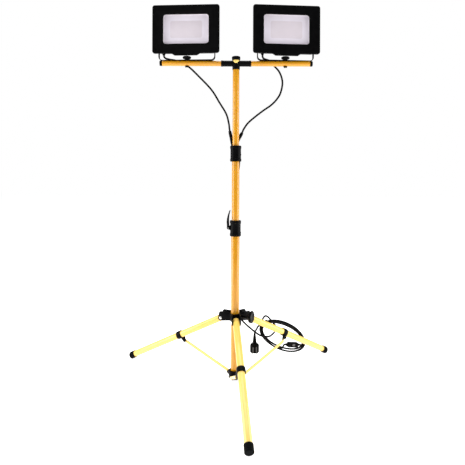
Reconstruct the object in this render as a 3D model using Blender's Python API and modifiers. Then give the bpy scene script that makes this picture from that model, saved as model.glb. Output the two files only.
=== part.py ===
"""Twin lamp work light on a three-section telescopic mast with a folding tripod.

Units are metres, +Z is up and the crossbar runs along X. Everything hangs under the empty
"stand", whose origin is the mast's axis on the floor. The last step moves that empty so that
the origin is the middle of the object's footprint.
"""

import math

import bmesh
import bpy
from mathutils import Vector

MM = 0.001
GAP = 0.3 * MM
ROUND = 20

# Mast tubes: outer radius, wall, lowest and highest point.
LOWER_TUBE = (16.0 * MM, 1.2 * MM, 11.3 * MM, 600.0 * MM)
MIDDLE_TUBE = (14.2 * MM, 1.1 * MM, 330.0 * MM, 883.0 * MM)
UPPER_TUBE = (12.5 * MM, 1.1 * MM, 640.0 * MM, 1186.0 * MM)

# Clamp collars at the top of the lower and the middle tube.
COLLAR_HEIGHT = 60.0 * MM
COLLAR_LIP = 4.7 * MM
LOWER_COLLAR_BASE = 545.0 * MM
UPPER_COLLAR_BASE = 828.0 * MM
COLLAR_RADIUS = 21.3 * MM
LEVER_PIN_OUT = 27.5 * MM
LEVER_PIN_HEIGHT = 32.0 * MM
LEVER_WIDTH = 12.0 * MM
UPPER_LEVER_TURN = 68.0
LOWER_LEVER_TURN = 180.0

# Crossbar and the head that holds it.
BAR_HEIGHT = 1200.0 * MM
BAR_RADIUS = 10.0 * MM
BAR_HALF = 280.0 * MM
BAR_CAP_HALF = 290.0 * MM
SLEEVE_RADIUS = 11.5 * MM
SLEEVE_HALF = 57.0 * MM
BOLT_RADIUS = 3.0 * MM

# Lamps, in the frame of their yoke: x across, y to the back, z up from the bar's axis.
LAMP_PLACES = {"left": (-187.0 * MM, -3.5), "right": (187.0 * MM, 4.0)}
LAMP_WIDTH = 253.0 * MM
LAMP_LOW = 31.5 * MM
LAMP_HIGH = 212.0 * MM
FRAME_FRONT = -30.0 * MM
FRAME_BACK = -22.0 * MM
FRAME_CORNER = 9.5 * MM
WINDOW_HALF_WIDTH = 86.0 * MM
WINDOW_LOW = 67.0 * MM
WINDOW_HIGH = 177.5 * MM
WINDOW_CORNER = 11.0 * MM
HOUSING_HALF = 104.9 * MM
HOUSING_BACK = 12.0 * MM
HOUSING_LOW = 40.0 * MM
HOUSING_HIGH = 203.0 * MM
FIN_DEPTH = 12.0 * MM
FIN_COUNT = 9
TILT_HEIGHT = 70.0 * MM
YOKE_HALF = 107.8 * MM
YOKE_THICK = 2.5 * MM
YOKE_WIDE = 16.0 * MM
YOKE_BASE = BAR_RADIUS + GAP
GLAND_X = -88.0 * MM
GLAND_Y = -2.0 * MM

# Tripod. Each leg is drawn in its own upright plane, at a distance out from the mast's axis.
TRIPOD_TURNS = {"front": -85.2, "right": 34.8, "left": 154.8}
LEG_PIVOT = (53.5 * MM, 232.0 * MM)
LEG_SLOPE = 27.0
LEG_RADIUS = 12.5 * MM
LEG_END = 486.0 * MM
BRACE_ALONG = 214.0 * MM
BRACE_BELOW = 29.0 * MM
BRACE_PIVOT = (30.7 * MM, 20.0 * MM)
BRACE_SIDE = 15.8 * MM
BRACE_THICK = 4.0 * MM
BRACE_WIDE = 10.5 * MM
CLAMP_EAR = 5.6 * MM
HUB_LOW = 226.0 * MM
HUB_HIGH = 253.0 * MM
HUB_RADIUS = 22.0 * MM
CHEEK_IN = 13.2 * MM
CHEEK_OUT = 17.0 * MM
HUB_KNOB_TURN = -25.0
HUB_KNOB_HEIGHT = 246.0 * MM

# Cords.
CORD_RADIUS = 3.5 * MM
CORD_STEP = 22.0 * MM
CORD_SQUARE = 4.0 * MM
COIL_SIDE = 24.0 * MM
COIL_RADIUS = 7.2 * MM
COIL_CENTRE = (241.0 * MM, 15.0 * MM)
COIL_HALF = (128.0 * MM, 49.0 * MM)
SWITCH_CENTRE = (308.0 * MM, 33.0 * MM)
SWITCH_TURN = 15.0
PLUG_PLACE = (79.5 * MM, 116.0 * MM)
PIN_OFFSET = 9.5 * MM

LEFT_LEAD = [
    (-275.0, 3.4, 1229.2), (-274.0, 4.8, 1225.5), (-267.8, 10.4, 1221.0), (-253.2, 19.5, 1219.5),
    (-238.0, 26.0, 1219.0), (-222.0, 28.0, 1214.0), (-185.0, 27.0, 1195.5),
    (-143.0, 27.0, 1156.5), (-94.5, 28.0, 1105.5), (-62.5, 29.0, 1055.0),
    (-37.5, 30.0, 1013.5), (-27.5, 31.0, 978.0), (-24.5, 32.5, 955.0), (-23.5, 33.0, 948.5),
]
RIGHT_LEAD = [
    (99.4, -8.0, 1229.2), (99.9, -6.5, 1225.5), (103.5, 1.0, 1221.0), (112.0, 12.0, 1220.0),
    (126.0, 21.0, 1217.5),
    (146.0, 25.0, 1198.5), (167.5, 26.0, 1173.5), (178.8, 26.0, 1136.5), (172.5, 27.0, 1097.0),
    (158.5, 28.0, 1071.5), (136.0, 29.0, 1048.0), (104.0, 30.0, 1025.5), (72.5, 30.0, 1001.0),
    (47.0, 31.0, 978.5), (31.0, 32.5, 956.0), (24.5, 33.0, 941.5),
]
MAIN_CORD = [
    (-9.0, 34.0, 849.5), (-9.0, 34.0, 800.0), (-8.0, 33.5, 700.0), (-7.0, 33.0, 600.0),
    (-8.0, 33.0, 500.0), (-8.5, 33.5, 400.0), (-7.5, 34.0, 320.0), (-5.0, 35.0, 270.0),
    (3.0, 40.0, 240.0), (14.0, 47.5, 223.5), (26.5, 55.0, 209.0), (51.5, 70.0, 181.0),
    (80.0, 82.5, 154.0), (102.5, 87.0, 138.5), (132.5, 106.0, 127.5), (149.0, 122.5, 129.0),
    (162.0, 134.5, 138.0), (168.0, 140.5, 152.0), (162.5, 130.0, 168.0), (151.0, 118.5, 184.0),
    (141.0, 114.0, 197.0), (131.0, 108.5, 208.0), (121.5, 106.0, 211.0), (114.0, 107.5, 203.0),
    (111.0, 107.0, 192.0), (110.5, 106.5, 184.0),
]
TAIL_CORD = [
    (98.0, 106.5, 176.0), (94.5, 109.0, 169.0), (87.5, 113.0, 156.0), (80.5, 115.8, 143.5),
    (79.5, 116.0, 136.6),
]


def clear_scene():
    for old in list(bpy.data.objects):
        bpy.data.objects.remove(old, do_unlink=True)


def new_collection(name):
    made = bpy.data.collections.new(name)
    bpy.context.scene.collection.children.link(made)
    return made


def paint(name, colour, roughness, metallic=0.0, alpha=1.0):
    made = bpy.data.materials.new(name)
    made.use_nodes = True
    shader = made.node_tree.nodes["Principled BSDF"]
    shader.inputs["Base Color"].default_value = (*colour, 1.0)
    shader.inputs["Roughness"].default_value = roughness
    shader.inputs["Metallic"].default_value = metallic
    shader.inputs["Alpha"].default_value = alpha
    made.diffuse_color = (*colour, 1.0)
    return made


clear_scene()
PARTS = new_collection("work_light")
CUTTERS = new_collection("cutters")
YELLOW = paint("yellow_paint", (0.93, 0.62, 0.08), 0.35)
BLACK = paint("black_plastic", (0.02, 0.02, 0.022), 0.5)
BLACK_METAL = paint("black_painted_metal", (0.015, 0.015, 0.017), 0.4, 0.3)
STEEL = paint("zinc_plated_steel", (0.62, 0.62, 0.6), 0.3, 1.0)
RUBBER = paint("black_rubber", (0.015, 0.015, 0.015), 0.7)
GLASS = paint("frosted_glass", (0.86, 0.82, 0.86), 0.4, 0.0, 0.5)
REFLECTOR = paint("reflector", (0.8, 0.78, 0.8), 0.25, 0.6)
LED = paint("led_board", (0.85, 0.75, 0.3), 0.5)


def empty(name, parent=None, place=(0, 0, 0), turn=(0, 0, 0)):
    """A joint or assembly frame. turn is in degrees, about X, Y and Z."""
    made = bpy.data.objects.new(name, None)
    PARTS.objects.link(made)
    made.parent = parent
    made.location = place
    made.rotation_euler = [math.radians(a) for a in turn]
    return made


def put(made, material, parent, place, turn, cutter=False):
    (CUTTERS if cutter else PARTS).objects.link(made)
    if cutter:
        made.hide_render = True
        made.display_type = "WIRE"
    else:
        made.data.materials.clear()
        made.data.materials.append(material)
    made.parent = parent
    made.location = place
    made.rotation_euler = [math.radians(a) for a in turn]
    return made


def turned(name, profile, material, parent, place=(0, 0, 0), turn=(0, 0, 0), cutter=False, sides=ROUND):
    """A profile of (radius, height) turned about Z. It runs down the outer side.

    A profile whose ends are both on the axis stays open; any other is closed into a ring.
    """
    mesh = bpy.data.meshes.new(name)
    points = [(r, 0, z) for r, z in profile]
    edges = [(i, i + 1) for i in range(len(points) - 1)]
    if profile[0][0] > 0:
        edges.append((len(points) - 1, 0))
    mesh.from_pydata(points, edges, [])
    made = put(bpy.data.objects.new(name, mesh), material, parent, place, turn, cutter)
    screw = made.modifiers.new("Screw", "SCREW")
    screw.steps = sides
    screw.render_steps = sides
    screw.use_merge_vertices = True
    screw.merge_threshold = 0.00001
    return made


def tube(name, size, material, parent, cutter=False, **more):
    outer, wall, low, high = size
    inner = outer - wall
    profile = [(outer, high), (outer, low), (inner, low), (inner, high)]
    return turned(name, profile, material, parent, cutter=cutter, **more)


def rod(name, radius, low, high, material, parent, **more):
    return turned(name, [(0, high), (radius, high), (radius, low), (0, low)], material, parent, **more)


def box(name, low, high, material, parent, place=(0, 0, 0), turn=(0, 0, 0), cutter=False):
    mesh = bpy.data.meshes.new(name)
    shape = bmesh.new()
    bmesh.ops.create_cube(shape, size=1.0)
    for v in shape.verts:
        v.co = Vector([low[i] + (v.co[i] + 0.5) * (high[i] - low[i]) for i in range(3)])
    shape.to_mesh(mesh)
    shape.free()
    return put(bpy.data.objects.new(name, mesh), material, parent, place, turn, cutter)


def plate(name, outlines, thick, material, parent, place=(0, 0, 0), turn=(90, 0, 0), cutter=False):
    """Flat outlines in (x, z), filled and given a thickness along y, centred on place.

    The first outline is the edge and the others are holes.
    """
    curve = bpy.data.curves.new(name, "CURVE")
    curve.dimensions = "2D"
    curve.fill_mode = "BOTH"
    curve.extrude = thick / 2
    for outline in outlines:
        spline = curve.splines.new("POLY")
        spline.points.add(len(outline) - 1)
        for point, (x, z) in zip(spline.points, outline):
            point.co = (x, z, 0, 1)
        spline.use_cyclic_u = True
    made = put(bpy.data.objects.new(name, curve), material, parent, place, turn, cutter)
    return as_mesh(made)


def as_mesh(made):
    """The same object as a welded mesh, which takes Boolean cuts."""
    bpy.context.view_layer.update()
    solid = bpy.data.meshes.new_from_object(made.evaluated_get(bpy.context.evaluated_depsgraph_get()))
    shape = bmesh.new()
    shape.from_mesh(solid)
    bmesh.ops.remove_doubles(shape, verts=shape.verts, dist=0.000001)
    bmesh.ops.recalc_face_normals(shape, faces=shape.faces)
    shape.to_mesh(solid)
    shape.free()
    name = made.name
    made.name = name + "_outline"
    fresh = bpy.data.objects.new(name, solid)
    for group in made.users_collection:
        group.objects.link(fresh)
    fresh.parent = made.parent
    fresh.location = made.location
    fresh.rotation_euler = made.rotation_euler
    fresh.hide_render = made.hide_render
    fresh.display_type = made.display_type
    bpy.data.objects.remove(made, do_unlink=True)
    return fresh


def combine(made, other, how="DIFFERENCE"):
    cut = made.modifiers.new(other.name, "BOOLEAN")
    cut.operation = how
    cut.object = other
    return made


def arc(centre, radius, start, end, steps=6):
    """Points on an arc, from one angle in degrees to another."""
    angles = [math.radians(start + (end - start) * i / steps) for i in range(steps + 1)]
    return [(centre[0] + radius * math.cos(a), centre[1] + radius * math.sin(a)) for a in angles]


def rounded(half, low, high, corner, steps=4):
    """A rounded rectangle's outline."""
    points = []
    for x, z, start in ((half, high, 0), (-half, high, 90), (-half, low, 180), (half, low, 270)):
        centre = (x - math.copysign(corner, x), z - (corner if start < 180 else -corner))
        points += arc(centre, corner, start, start + 90, steps)
    return points


def smooth_path(points, step):
    """Points a step apart on a Catmull-Rom curve through the route's points.

    One more point near each end keeps the end faces square to the curve.
    """
    ends = [points[0] * 2 - points[1], *points, points[-1] * 2 - points[-2]]
    fine = []
    for a, b, c, d in zip(ends, ends[1:], ends[2:], ends[3:]):
        for i in range(16):
            t = i / 16
            fine.append(
                (b * 2 + (c - a) * t + (a * 2 - b * 5 + c * 4 - d) * t**2 + (b * 3 - a - c * 3 + d) * t**3) / 2
            )
    fine.append(points[-1])
    lengths = [0.0]
    for a, b in zip(fine, fine[1:]):
        lengths.append(lengths[-1] + (b - a).length)
    total = lengths[-1]
    count = max(2, round(total / step))
    places = [0.0, CORD_SQUARE, *(total * i / count for i in range(1, count)), total - CORD_SQUARE, total]
    path = []
    at = 0
    for want in places:
        while at < len(fine) - 2 and lengths[at + 1] < want:
            at += 1
        part = (want - lengths[at]) / (lengths[at + 1] - lengths[at])
        path.append(fine[at].lerp(fine[at + 1], part))
    return path


def wire(name, path, radius, material, parent, closed=False):
    """A round tube along a path, with flat ends, or a closed ring."""
    curve = bpy.data.curves.new(name, "CURVE")
    curve.dimensions = "3D"
    curve.bevel_depth = radius
    curve.bevel_resolution = 2
    curve.use_fill_caps = not closed
    spline = curve.splines.new("POLY")
    spline.points.add(len(path) - 1)
    for point, co in zip(spline.points, path):
        point.co = (*co, 1)
    spline.use_cyclic_u = closed
    return put(bpy.data.objects.new(name, curve), material, parent, (0, 0, 0), (0, 0, 0))


def cord(name, route, parent):
    points = [Vector(p) * MM for p in route]
    return wire(name, smooth_path(points, CORD_STEP), CORD_RADIUS, RUBBER, parent)


def collar_and_lever(name, tube_radius, inner_radius, base, turn, flip, body):
    """A clamp collar on a tube's top, its hinge pin and its cam lever.

    The lever stands up along the mast, or hangs down where flip is set.
    """
    top = base + COLLAR_HEIGHT
    bore = tube_radius + GAP
    shelf = top - COLLAR_LIP
    lip = inner_radius + 0.4 * MM
    profile = [(COLLAR_RADIUS - 1.5 * MM, top), (COLLAR_RADIUS, top - 3 * MM), (COLLAR_RADIUS, base + 3 * MM)]
    profile += [(COLLAR_RADIUS - 1.5 * MM, base), (bore, base), (bore, shelf), (lip, shelf), (lip, top)]
    collar = turned(name + "_collar", profile, BLACK, body)
    way = -1 if flip else 1
    pin_height = top - LEVER_PIN_HEIGHT if flip else base + LEVER_PIN_HEIGHT
    frame = empty(name + "_lever_pivot", body, (0, 0, pin_height), (0, 0, turn))
    for side in (-1, 1):
        reach = [
            (18.5 * MM, -9 * MM), *arc((LEVER_PIN_OUT, 0), 5.5 * MM, -90, 90), (18.5 * MM, 9 * MM),
        ]
        lug = plate(
            f"{name}_lug_{side}", [reach], 3.4 * MM, BLACK, frame,
            place=(0, side * (LEVER_WIDTH / 2 + GAP + 1.7 * MM), 0), cutter=True,
        )
        combine(collar, lug, "UNION")
    pin_hole = rod(
        name + "_pin_hole", 2.3 * MM, -20 * MM, 20 * MM, None, frame, place=(LEVER_PIN_OUT, 0, 0),
        turn=(90, 0, 0), cutter=True, sides=16,
    )
    combine(collar, pin_hole)
    rod(
        name + "_lever_pin", 2.0 * MM, -9.8 * MM, 9.8 * MM, STEEL, frame, place=(LEVER_PIN_OUT, 0, 0),
        turn=(90, 0, 0), sides=16,
    )
    outer = [(32.5, 8.0), (33.5, 22.0), (32.0, 36.0), (28.5, 50.0), (22.5, 66.0), (19.8, 67.5)]
    inner = [(19.0, 65.5), (22.5, 50.0), (24.0, 36.0), (24.0, 22.0), (23.2, 8.0)]
    edge = [(x * MM, z * MM * way) for x, z in outer + inner]
    eye = arc((LEVER_PIN_OUT, 0), 5.0 * MM, 200 * way, 340 * way, 8)
    outline = eye + edge
    hole = arc((LEVER_PIN_OUT, 0), 2.3 * MM, 0, 345, 15)
    plate(name + "_lever", [outline, hole], LEVER_WIDTH, BLACK, frame)


def mast_head(body):
    """The crossbar, the cross fitting that carries it, the top cap and the lamp bolts."""
    bar = turned(
        "crossbar",
        [(BAR_RADIUS, BAR_HALF), (BAR_RADIUS, -BAR_HALF), (BAR_RADIUS - 1.2 * MM, -BAR_HALF),
         (BAR_RADIUS - 1.2 * MM, BAR_HALF)],
        YELLOW, body, place=(0, 0, BAR_HEIGHT), turn=(0, 90, 0),
    )
    low = 1176.0 * MM
    fitting = turned(
        "cross_fitting",
        [(0, 1211.0 * MM), (11.9 * MM, 1211.0 * MM), (11.9 * MM, 1198.5 * MM), (14.2 * MM, 1197.5 * MM),
         (14.2 * MM, low), (12.8 * MM, low), (12.8 * MM, 1186.5 * MM), (0, 1186.5 * MM)],
        BLACK, body,
    )
    sleeve = rod(
        "sleeve_shape", SLEEVE_RADIUS, -SLEEVE_HALF, SLEEVE_HALF, None, body,
        place=(0, 0, BAR_HEIGHT), turn=(0, 90, 0), cutter=True,
    )
    combine(fitting, sleeve, "UNION")
    bar_hole = rod(
        "bar_hole", BAR_RADIUS + GAP, -80 * MM, 80 * MM, None, body, place=(0, 0, BAR_HEIGHT),
        turn=(0, 90, 0), cutter=True,
    )
    combine(fitting, bar_hole)
    turned(
        "top_cap",
        [(0, 1226.0 * MM), (14.5 * MM, 1226.0 * MM), (16.0 * MM, 1224.0 * MM), (16.0 * MM, 1214.5 * MM),
         (14.5 * MM, 1211.9 * MM), (0, 1211.9 * MM)],
        BLACK, body,
    )
    end_caps(body)
    for side, (x, _) in LAMP_PLACES.items():
        hole = rod(
            "bolt_hole_" + side, BOLT_RADIUS + GAP, BAR_HEIGHT - 20 * MM, BAR_HEIGHT + 20 * MM, None, body,
            place=(x, 0, 0), cutter=True, sides=16,
        )
        combine(bar, hole)
        bolt = rod("yoke_bolt_" + side, BOLT_RADIUS, -15.5 * MM, 21 * MM, STEEL, body,
                   place=(x, 0, BAR_HEIGHT), sides=16)
        nut = rod("bolt_nut_" + side, 6.0 * MM, -15.5 * MM, -10.3 * MM, None, body,
                  place=(x, 0, BAR_HEIGHT), cutter=True, sides=6)
        combine(bolt, nut, "UNION")


def end_caps(body):
    """A plug with a domed head in each end of the crossbar."""
    plug = BAR_RADIUS - 1.2 * MM - GAP
    lip = BAR_HALF + GAP
    for side, turn in (("left", -90), ("right", 90)):
        turned(
            "crossbar_cap_" + side,
            [(0, BAR_CAP_HALF), (BAR_RADIUS - 1 * MM, BAR_CAP_HALF), (BAR_RADIUS, BAR_CAP_HALF - 1 * MM),
             (BAR_RADIUS, lip), (plug, lip), (plug, lip - 12 * MM), (0, lip - 12 * MM)],
            BLACK, body, place=(0, 0, BAR_HEIGHT), turn=(0, turn, 0),
        )


def lamp(side, body):
    """One lamp with its yoke, hand knob, tilt bolts, housing, reflector, board, glass and gland."""
    x, pan = LAMP_PLACES[side]
    seat = YOKE_BASE + YOKE_THICK + GAP
    bore = BOLT_RADIUS + GAP
    turned(
        "hand_knob_" + side,
        [(0, 26 * MM), (13.5 * MM, 26 * MM), (16 * MM, 24 * MM), (16 * MM, 19.5 * MM), (14 * MM, 17.5 * MM),
         (8 * MM, 17 * MM), (7.5 * MM, seat), (bore, seat), (bore, 21.5 * MM), (0, 21.5 * MM)],
        BLACK, body, place=(x, 0, BAR_HEIGHT),
    )
    pivot = empty("pan_" + side, body, (x, 0, BAR_HEIGHT), (0, 0, pan))
    yoke(side, pivot)
    tilt = empty("tilt_" + side, pivot, (0, 0, TILT_HEIGHT))
    down = -TILT_HEIGHT
    front_frame(side, tilt, down)
    lamp_body(side, tilt, down)
    turned(
        "cord_gland_" + side,
        [(0, -GAP), (7.0 * MM, -GAP), (7.0 * MM, -4 * MM), (5.2 * MM, -6 * MM), (4.6 * MM, -9.5 * MM),
         (0, -9.5 * MM)],
        RUBBER, tilt, place=(GLAND_X, GLAND_Y, HOUSING_LOW + down), sides=16,
    )
    for end, turn in (("a", -90), ("b", 90)):
        turned(
            f"tilt_bolt_{side}_{end}",
            [(0, 112.6 * MM), (5.0 * MM, 112.6 * MM), (6.0 * MM, 111.5 * MM), (6.0 * MM, YOKE_HALF + GAP),
             (BOLT_RADIUS, YOKE_HALF + GAP), (BOLT_RADIUS, HOUSING_HALF + GAP), (0, HOUSING_HALF + GAP)],
            STEEL, tilt, turn=(0, turn, 0), sides=16,
        )


def yoke(side, pivot):
    """A flat strip bent to a U: its base lies on the crossbar and its arms hold the lamp."""
    top = TILT_HEIGHT + 9 * MM
    bend = 15 * MM
    outer, inner = YOKE_HALF, YOKE_HALF - YOKE_THICK
    low, floor = YOKE_BASE, YOKE_BASE + YOKE_THICK
    outline = [(outer, top), (inner, top)]
    outline += arc((outer - bend, low + bend), bend - YOKE_THICK, 0, -90, 5)
    outline += arc((bend - outer, low + bend), bend - YOKE_THICK, -90, -180, 5)
    outline += [(-inner, top), (-outer, top)]
    outline += arc((bend - outer, low + bend), bend, 180, 270, 5)
    outline += arc((outer - bend, low + bend), bend, -90, 0, 5)
    made = plate("yoke_" + side, [outline], YOKE_WIDE, BLACK_METAL, pivot)
    across = rod("tilt_holes_" + side, BOLT_RADIUS + GAP, -120 * MM, 120 * MM, None, pivot,
                 place=(0, 0, TILT_HEIGHT), turn=(0, 90, 0), cutter=True, sides=16)
    combine(made, across)
    down = rod("pan_hole_" + side, BOLT_RADIUS + GAP, low - 5 * MM, floor + 5 * MM, None, pivot,
               cutter=True, sides=16)
    combine(made, down)


def front_frame(side, tilt, down):
    """The bezel: a rounded plate with a window and a low tab, and a hood lip round the window."""
    high, low = LAMP_HIGH + down, LAMP_LOW + down
    half = LAMP_WIDTH / 2
    tab = 8 * MM
    outline = rounded(half, low, high, FRAME_CORNER)
    corner = outline.index(min(outline, key=lambda p: (p[1], p[0])))
    lower = [(-55 * MM, low), (-42 * MM, low - tab), (42 * MM, low - tab), (55 * MM, low)]
    outline = outline[:corner + 1] + lower + outline[corner + 1:]
    window = rounded(WINDOW_HALF_WIDTH, WINDOW_LOW + down, WINDOW_HIGH + down, WINDOW_CORNER)
    plate("front_frame_" + side, [outline, window], FRAME_BACK - FRAME_FRONT, BLACK, tilt,
          place=(0, (FRAME_FRONT + FRAME_BACK) / 2, 0))


def lamp_body(side, tilt, down):
    """What sits behind the bezel: glass, reflector, board and the finned housing."""
    wall = 2.5 * MM
    front = FRAME_BACK + GAP
    low, high = HOUSING_LOW + down, HOUSING_HIGH + down
    glass_back = front + 3 * MM
    inner = HOUSING_HALF - wall - GAP
    pane = rounded(inner, low + wall + GAP, high - wall - GAP, 4 * MM)
    plate("glass_" + side, [pane], 3 * MM, GLASS, tilt, place=(0, front + 1.5 * MM, 0))
    rim = rounded(inner - 1 * MM, low + wall + 1.3 * MM, high - wall - 1.3 * MM, 4 * MM)
    throat = rounded(50 * MM, WINDOW_LOW + down + 27 * MM, WINDOW_HIGH + down - 27 * MM, 6 * MM)
    tray(f"reflector_{side}", [rim, throat], glass_back + 1.2 * MM, 20 * MM, tilt)
    board = rounded(inner - 4 * MM, low + 8 * MM, high - 8 * MM, 4 * MM)
    board_front = glass_back + 20 * MM + 3 * GAP
    plate("led_board_" + side, [board], 1.6 * MM, LED, tilt, place=(0, board_front + 0.8 * MM, 0))
    shell = plate("housing_" + side, [rounded(HOUSING_HALF, low, high, 6 * MM)], HOUSING_BACK - front,
                  BLACK_METAL, tilt, place=(0, (HOUSING_BACK + front) / 2, 0))
    floor = HOUSING_BACK - wall
    hollow = plate("hollow_" + side, [rounded(HOUSING_HALF - wall, low + wall, high - wall, 4 * MM)],
                   floor - front + 10 * MM, None, tilt, place=(0, (floor + front - 10 * MM) / 2, 0),
                   cutter=True)
    combine(shell, hollow)
    for i in range(FIN_COUNT):
        middle = (i - (FIN_COUNT - 1) / 2) * 22 * MM
        fin = box(f"fin_{side}_{i}", (middle - 1.5 * MM, HOUSING_BACK - 1 * MM, low + 8 * MM),
                  (middle + 1.5 * MM, HOUSING_BACK + FIN_DEPTH, high - 8 * MM), None, tilt, cutter=True)
        combine(shell, fin, "UNION")


def tray(name, outlines, front, deep, tilt):
    """The reflector: a sheet funnel from the glass's edge down to the board's opening."""
    outer, inner = outlines
    mesh = bpy.data.meshes.new(name)
    shape = bmesh.new()
    back = front + deep - 1.5 * MM
    rings = [[shape.verts.new((x, y, z)) for x, z in ring] for ring, y in ((outer, front), (inner, back))]
    count = len(outer)
    for i in range(count):
        j = (i + 1) % count
        shape.faces.new((rings[0][i], rings[1][i], rings[1][j], rings[0][j]))
    bmesh.ops.recalc_face_normals(shape, faces=shape.faces)
    shape.to_mesh(mesh)
    shape.free()
    made = put(bpy.data.objects.new(name, mesh), REFLECTOR, tilt, (0, 0, 0), (0, 0, 0))
    solid = made.modifiers.new("Solidify", "SOLIDIFY")
    solid.thickness = 1.0 * MM
    solid.offset = 0
    return made


def base_hub(body):
    """The cup under the mast with an ear beside each leg's plane, and its brace pins."""
    cup = turned(
        "base_hub",
        [(0, 11.0 * MM), (16.3 * MM, 11.0 * MM), (16.3 * MM, 38 * MM), (22.5 * MM, 38 * MM),
         (24 * MM, 36 * MM), (24 * MM, 10 * MM), (22 * MM, 8 * MM), (0, 8 * MM)],
        BLACK, body,
    )
    x, z = BRACE_PIVOT
    thick = 6 * MM
    for side, turn in TRIPOD_TURNS.items():
        plane = empty("base_plane_" + side, body, (0, 0, 0), (0, 0, turn))
        edge = [(17.5 * MM, z + 8.5 * MM), (17.5 * MM, z - 8.5 * MM), *arc((x, z), 8.0 * MM, -90, 90)]
        ear = plate("base_ear_" + side, [edge], thick, None, plane,
                    place=(0, -(BRACE_SIDE - GAP - thick / 2), 0), cutter=True)
        combine(cup, ear, "UNION")
        pin_profile = [
            (0, 22.6 * MM), (4.5 * MM, 22.6 * MM), (5.5 * MM, 21.6 * MM), (5.5 * MM, 20.1 * MM),
            (BOLT_RADIUS, 20.1 * MM), (BOLT_RADIUS, 12 * MM), (0, 12 * MM),
        ]
        pin = turned("brace_pin_" + side, pin_profile, None, plane, place=(x, 0, z), turn=(90, 0, 0),
                     cutter=True, sides=14)
        combine(cup, pin, "UNION")


def sliding_hub(body):
    """The ring on the lower tube with a fork for each leg, the leg pins and the clamp knob."""
    bore = LOWER_TUBE[0] + GAP
    ring = turned(
        "sliding_hub",
        [(HUB_RADIUS - 1 * MM, HUB_HIGH), (HUB_RADIUS, HUB_HIGH - 1 * MM), (HUB_RADIUS, HUB_LOW + 1 * MM),
         (HUB_RADIUS - 1 * MM, HUB_LOW), (bore, HUB_LOW), (bore, HUB_HIGH)],
        BLACK, body,
    )
    x, z = LEG_PIVOT
    thick = CHEEK_OUT - CHEEK_IN
    head = 19.5 * MM
    shank = CHEEK_OUT - 0.5 * MM
    for side, turn in TRIPOD_TURNS.items():
        plane = empty("hub_plane_" + side, body, (0, 0, 0), (0, 0, turn))
        edge = [(13 * MM, 252 * MM), (13 * MM, 227 * MM), *arc((x, z), 10.5 * MM, -90, 20, 6),
                (60 * MM, 252 * MM), (55 * MM, 257.5 * MM), (24 * MM, 257.5 * MM)]
        for way in (-1, 1):
            cheek = plate(f"cheek_{side}_{way}", [edge], thick, None, plane,
                          place=(0, way * (CHEEK_IN + thick / 2), 0), cutter=True)
            combine(ring, cheek, "UNION")
        pin_profile = [
            (0, head), (4.5 * MM, head), (5.5 * MM, head - 0.8 * MM), (5.5 * MM, shank), (BOLT_RADIUS, shank),
            (BOLT_RADIUS, -shank), (5.5 * MM, -shank), (5.5 * MM, 0.8 * MM - head), (4.5 * MM, -head), (0, -head),
        ]
        pin = turned("leg_pin_" + side, pin_profile, None, plane, place=(x, 0, z), turn=(90, 0, 0),
                     cutter=True, sides=14)
        combine(ring, pin, "UNION")
    knob_turn = empty("hub_knob_turn", body, (0, 0, HUB_KNOB_HEIGHT), (0, 0, HUB_KNOB_TURN))
    boss = rod("knob_boss", 7.0 * MM, 18 * MM, 33 * MM, None, knob_turn, turn=(0, 90, 0), cutter=True)
    combine(ring, boss, "UNION")
    clear = rod("ring_bore", bore, 200 * MM, 280 * MM, None, body, cutter=True)
    combine(ring, clear)
    turned(
        "hub_clamp_knob",
        [(0, 72 * MM), (20 * MM, 72 * MM), (23.3 * MM, 70 * MM), (23.3 * MM, 63 * MM), (14 * MM, 57 * MM),
         (9 * MM, 48 * MM), (8 * MM, 33.3 * MM), (0, 33.3 * MM)],
        BLACK, knob_turn, turn=(0, 90, 0),
    )


def leg(side, turn, body, floor_cut):
    """One leg's tube, foot and brace clamp. The leg's own frame has z along the leg, x below it."""
    plane = empty("leg_plane_" + side, body, (0, 0, 0), (0, 0, turn))
    frame = empty("leg_pivot_" + side, plane, (LEG_PIVOT[0], 0, LEG_PIVOT[1]), (0, 90 + LEG_SLOPE, 0))
    pipe = tube("leg_tube_" + side, (LEG_RADIUS, 1.3 * MM, -12 * MM, LEG_END - 7.5 * MM), YELLOW, frame)
    hole = rod("leg_bore_" + side, 3.3 * MM, -30 * MM, 30 * MM, None, frame, turn=(90, 0, 0),
               cutter=True, sides=14)
    combine(pipe, hole)
    cap = 14.5 * MM
    inner = LEG_RADIUS + GAP
    floor = LEG_END - 7.0 * MM
    foot = turned(
        "foot_" + side,
        [(0, LEG_END), (cap - 1.5 * MM, LEG_END), (cap, LEG_END - 1.5 * MM), (cap, LEG_END - 25 * MM),
         (inner, LEG_END - 25 * MM), (inner, floor), (0, floor)],
        RUBBER, frame,
    )
    combine(foot, floor_cut)
    low, high = BRACE_ALONG - 10 * MM, BRACE_ALONG + 10 * MM
    ring = 15.5 * MM
    clamp = turned(
        "brace_clamp_" + side,
        [(ring, high), (ring, low), (inner, low), (inner, high)], BLACK, frame,
    )
    thick = 6 * MM
    below = BRACE_BELOW
    edge = [(3 * MM, high), (3 * MM, low), *arc((below, BRACE_ALONG), CLAMP_EAR, -90, 90)]
    ear = plate("clamp_ear_" + side, [[(x, -z) for x, z in edge]], thick, None, frame,
                place=(0, -(BRACE_SIDE - GAP - thick / 2), 0), turn=(-90, 0, 0), cutter=True)
    combine(clamp, ear, "UNION")
    bore = rod("clamp_bore_" + side, inner, low - 5 * MM, high + 5 * MM, None, frame, cutter=True)
    combine(clamp, bore)
    return frame


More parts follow.
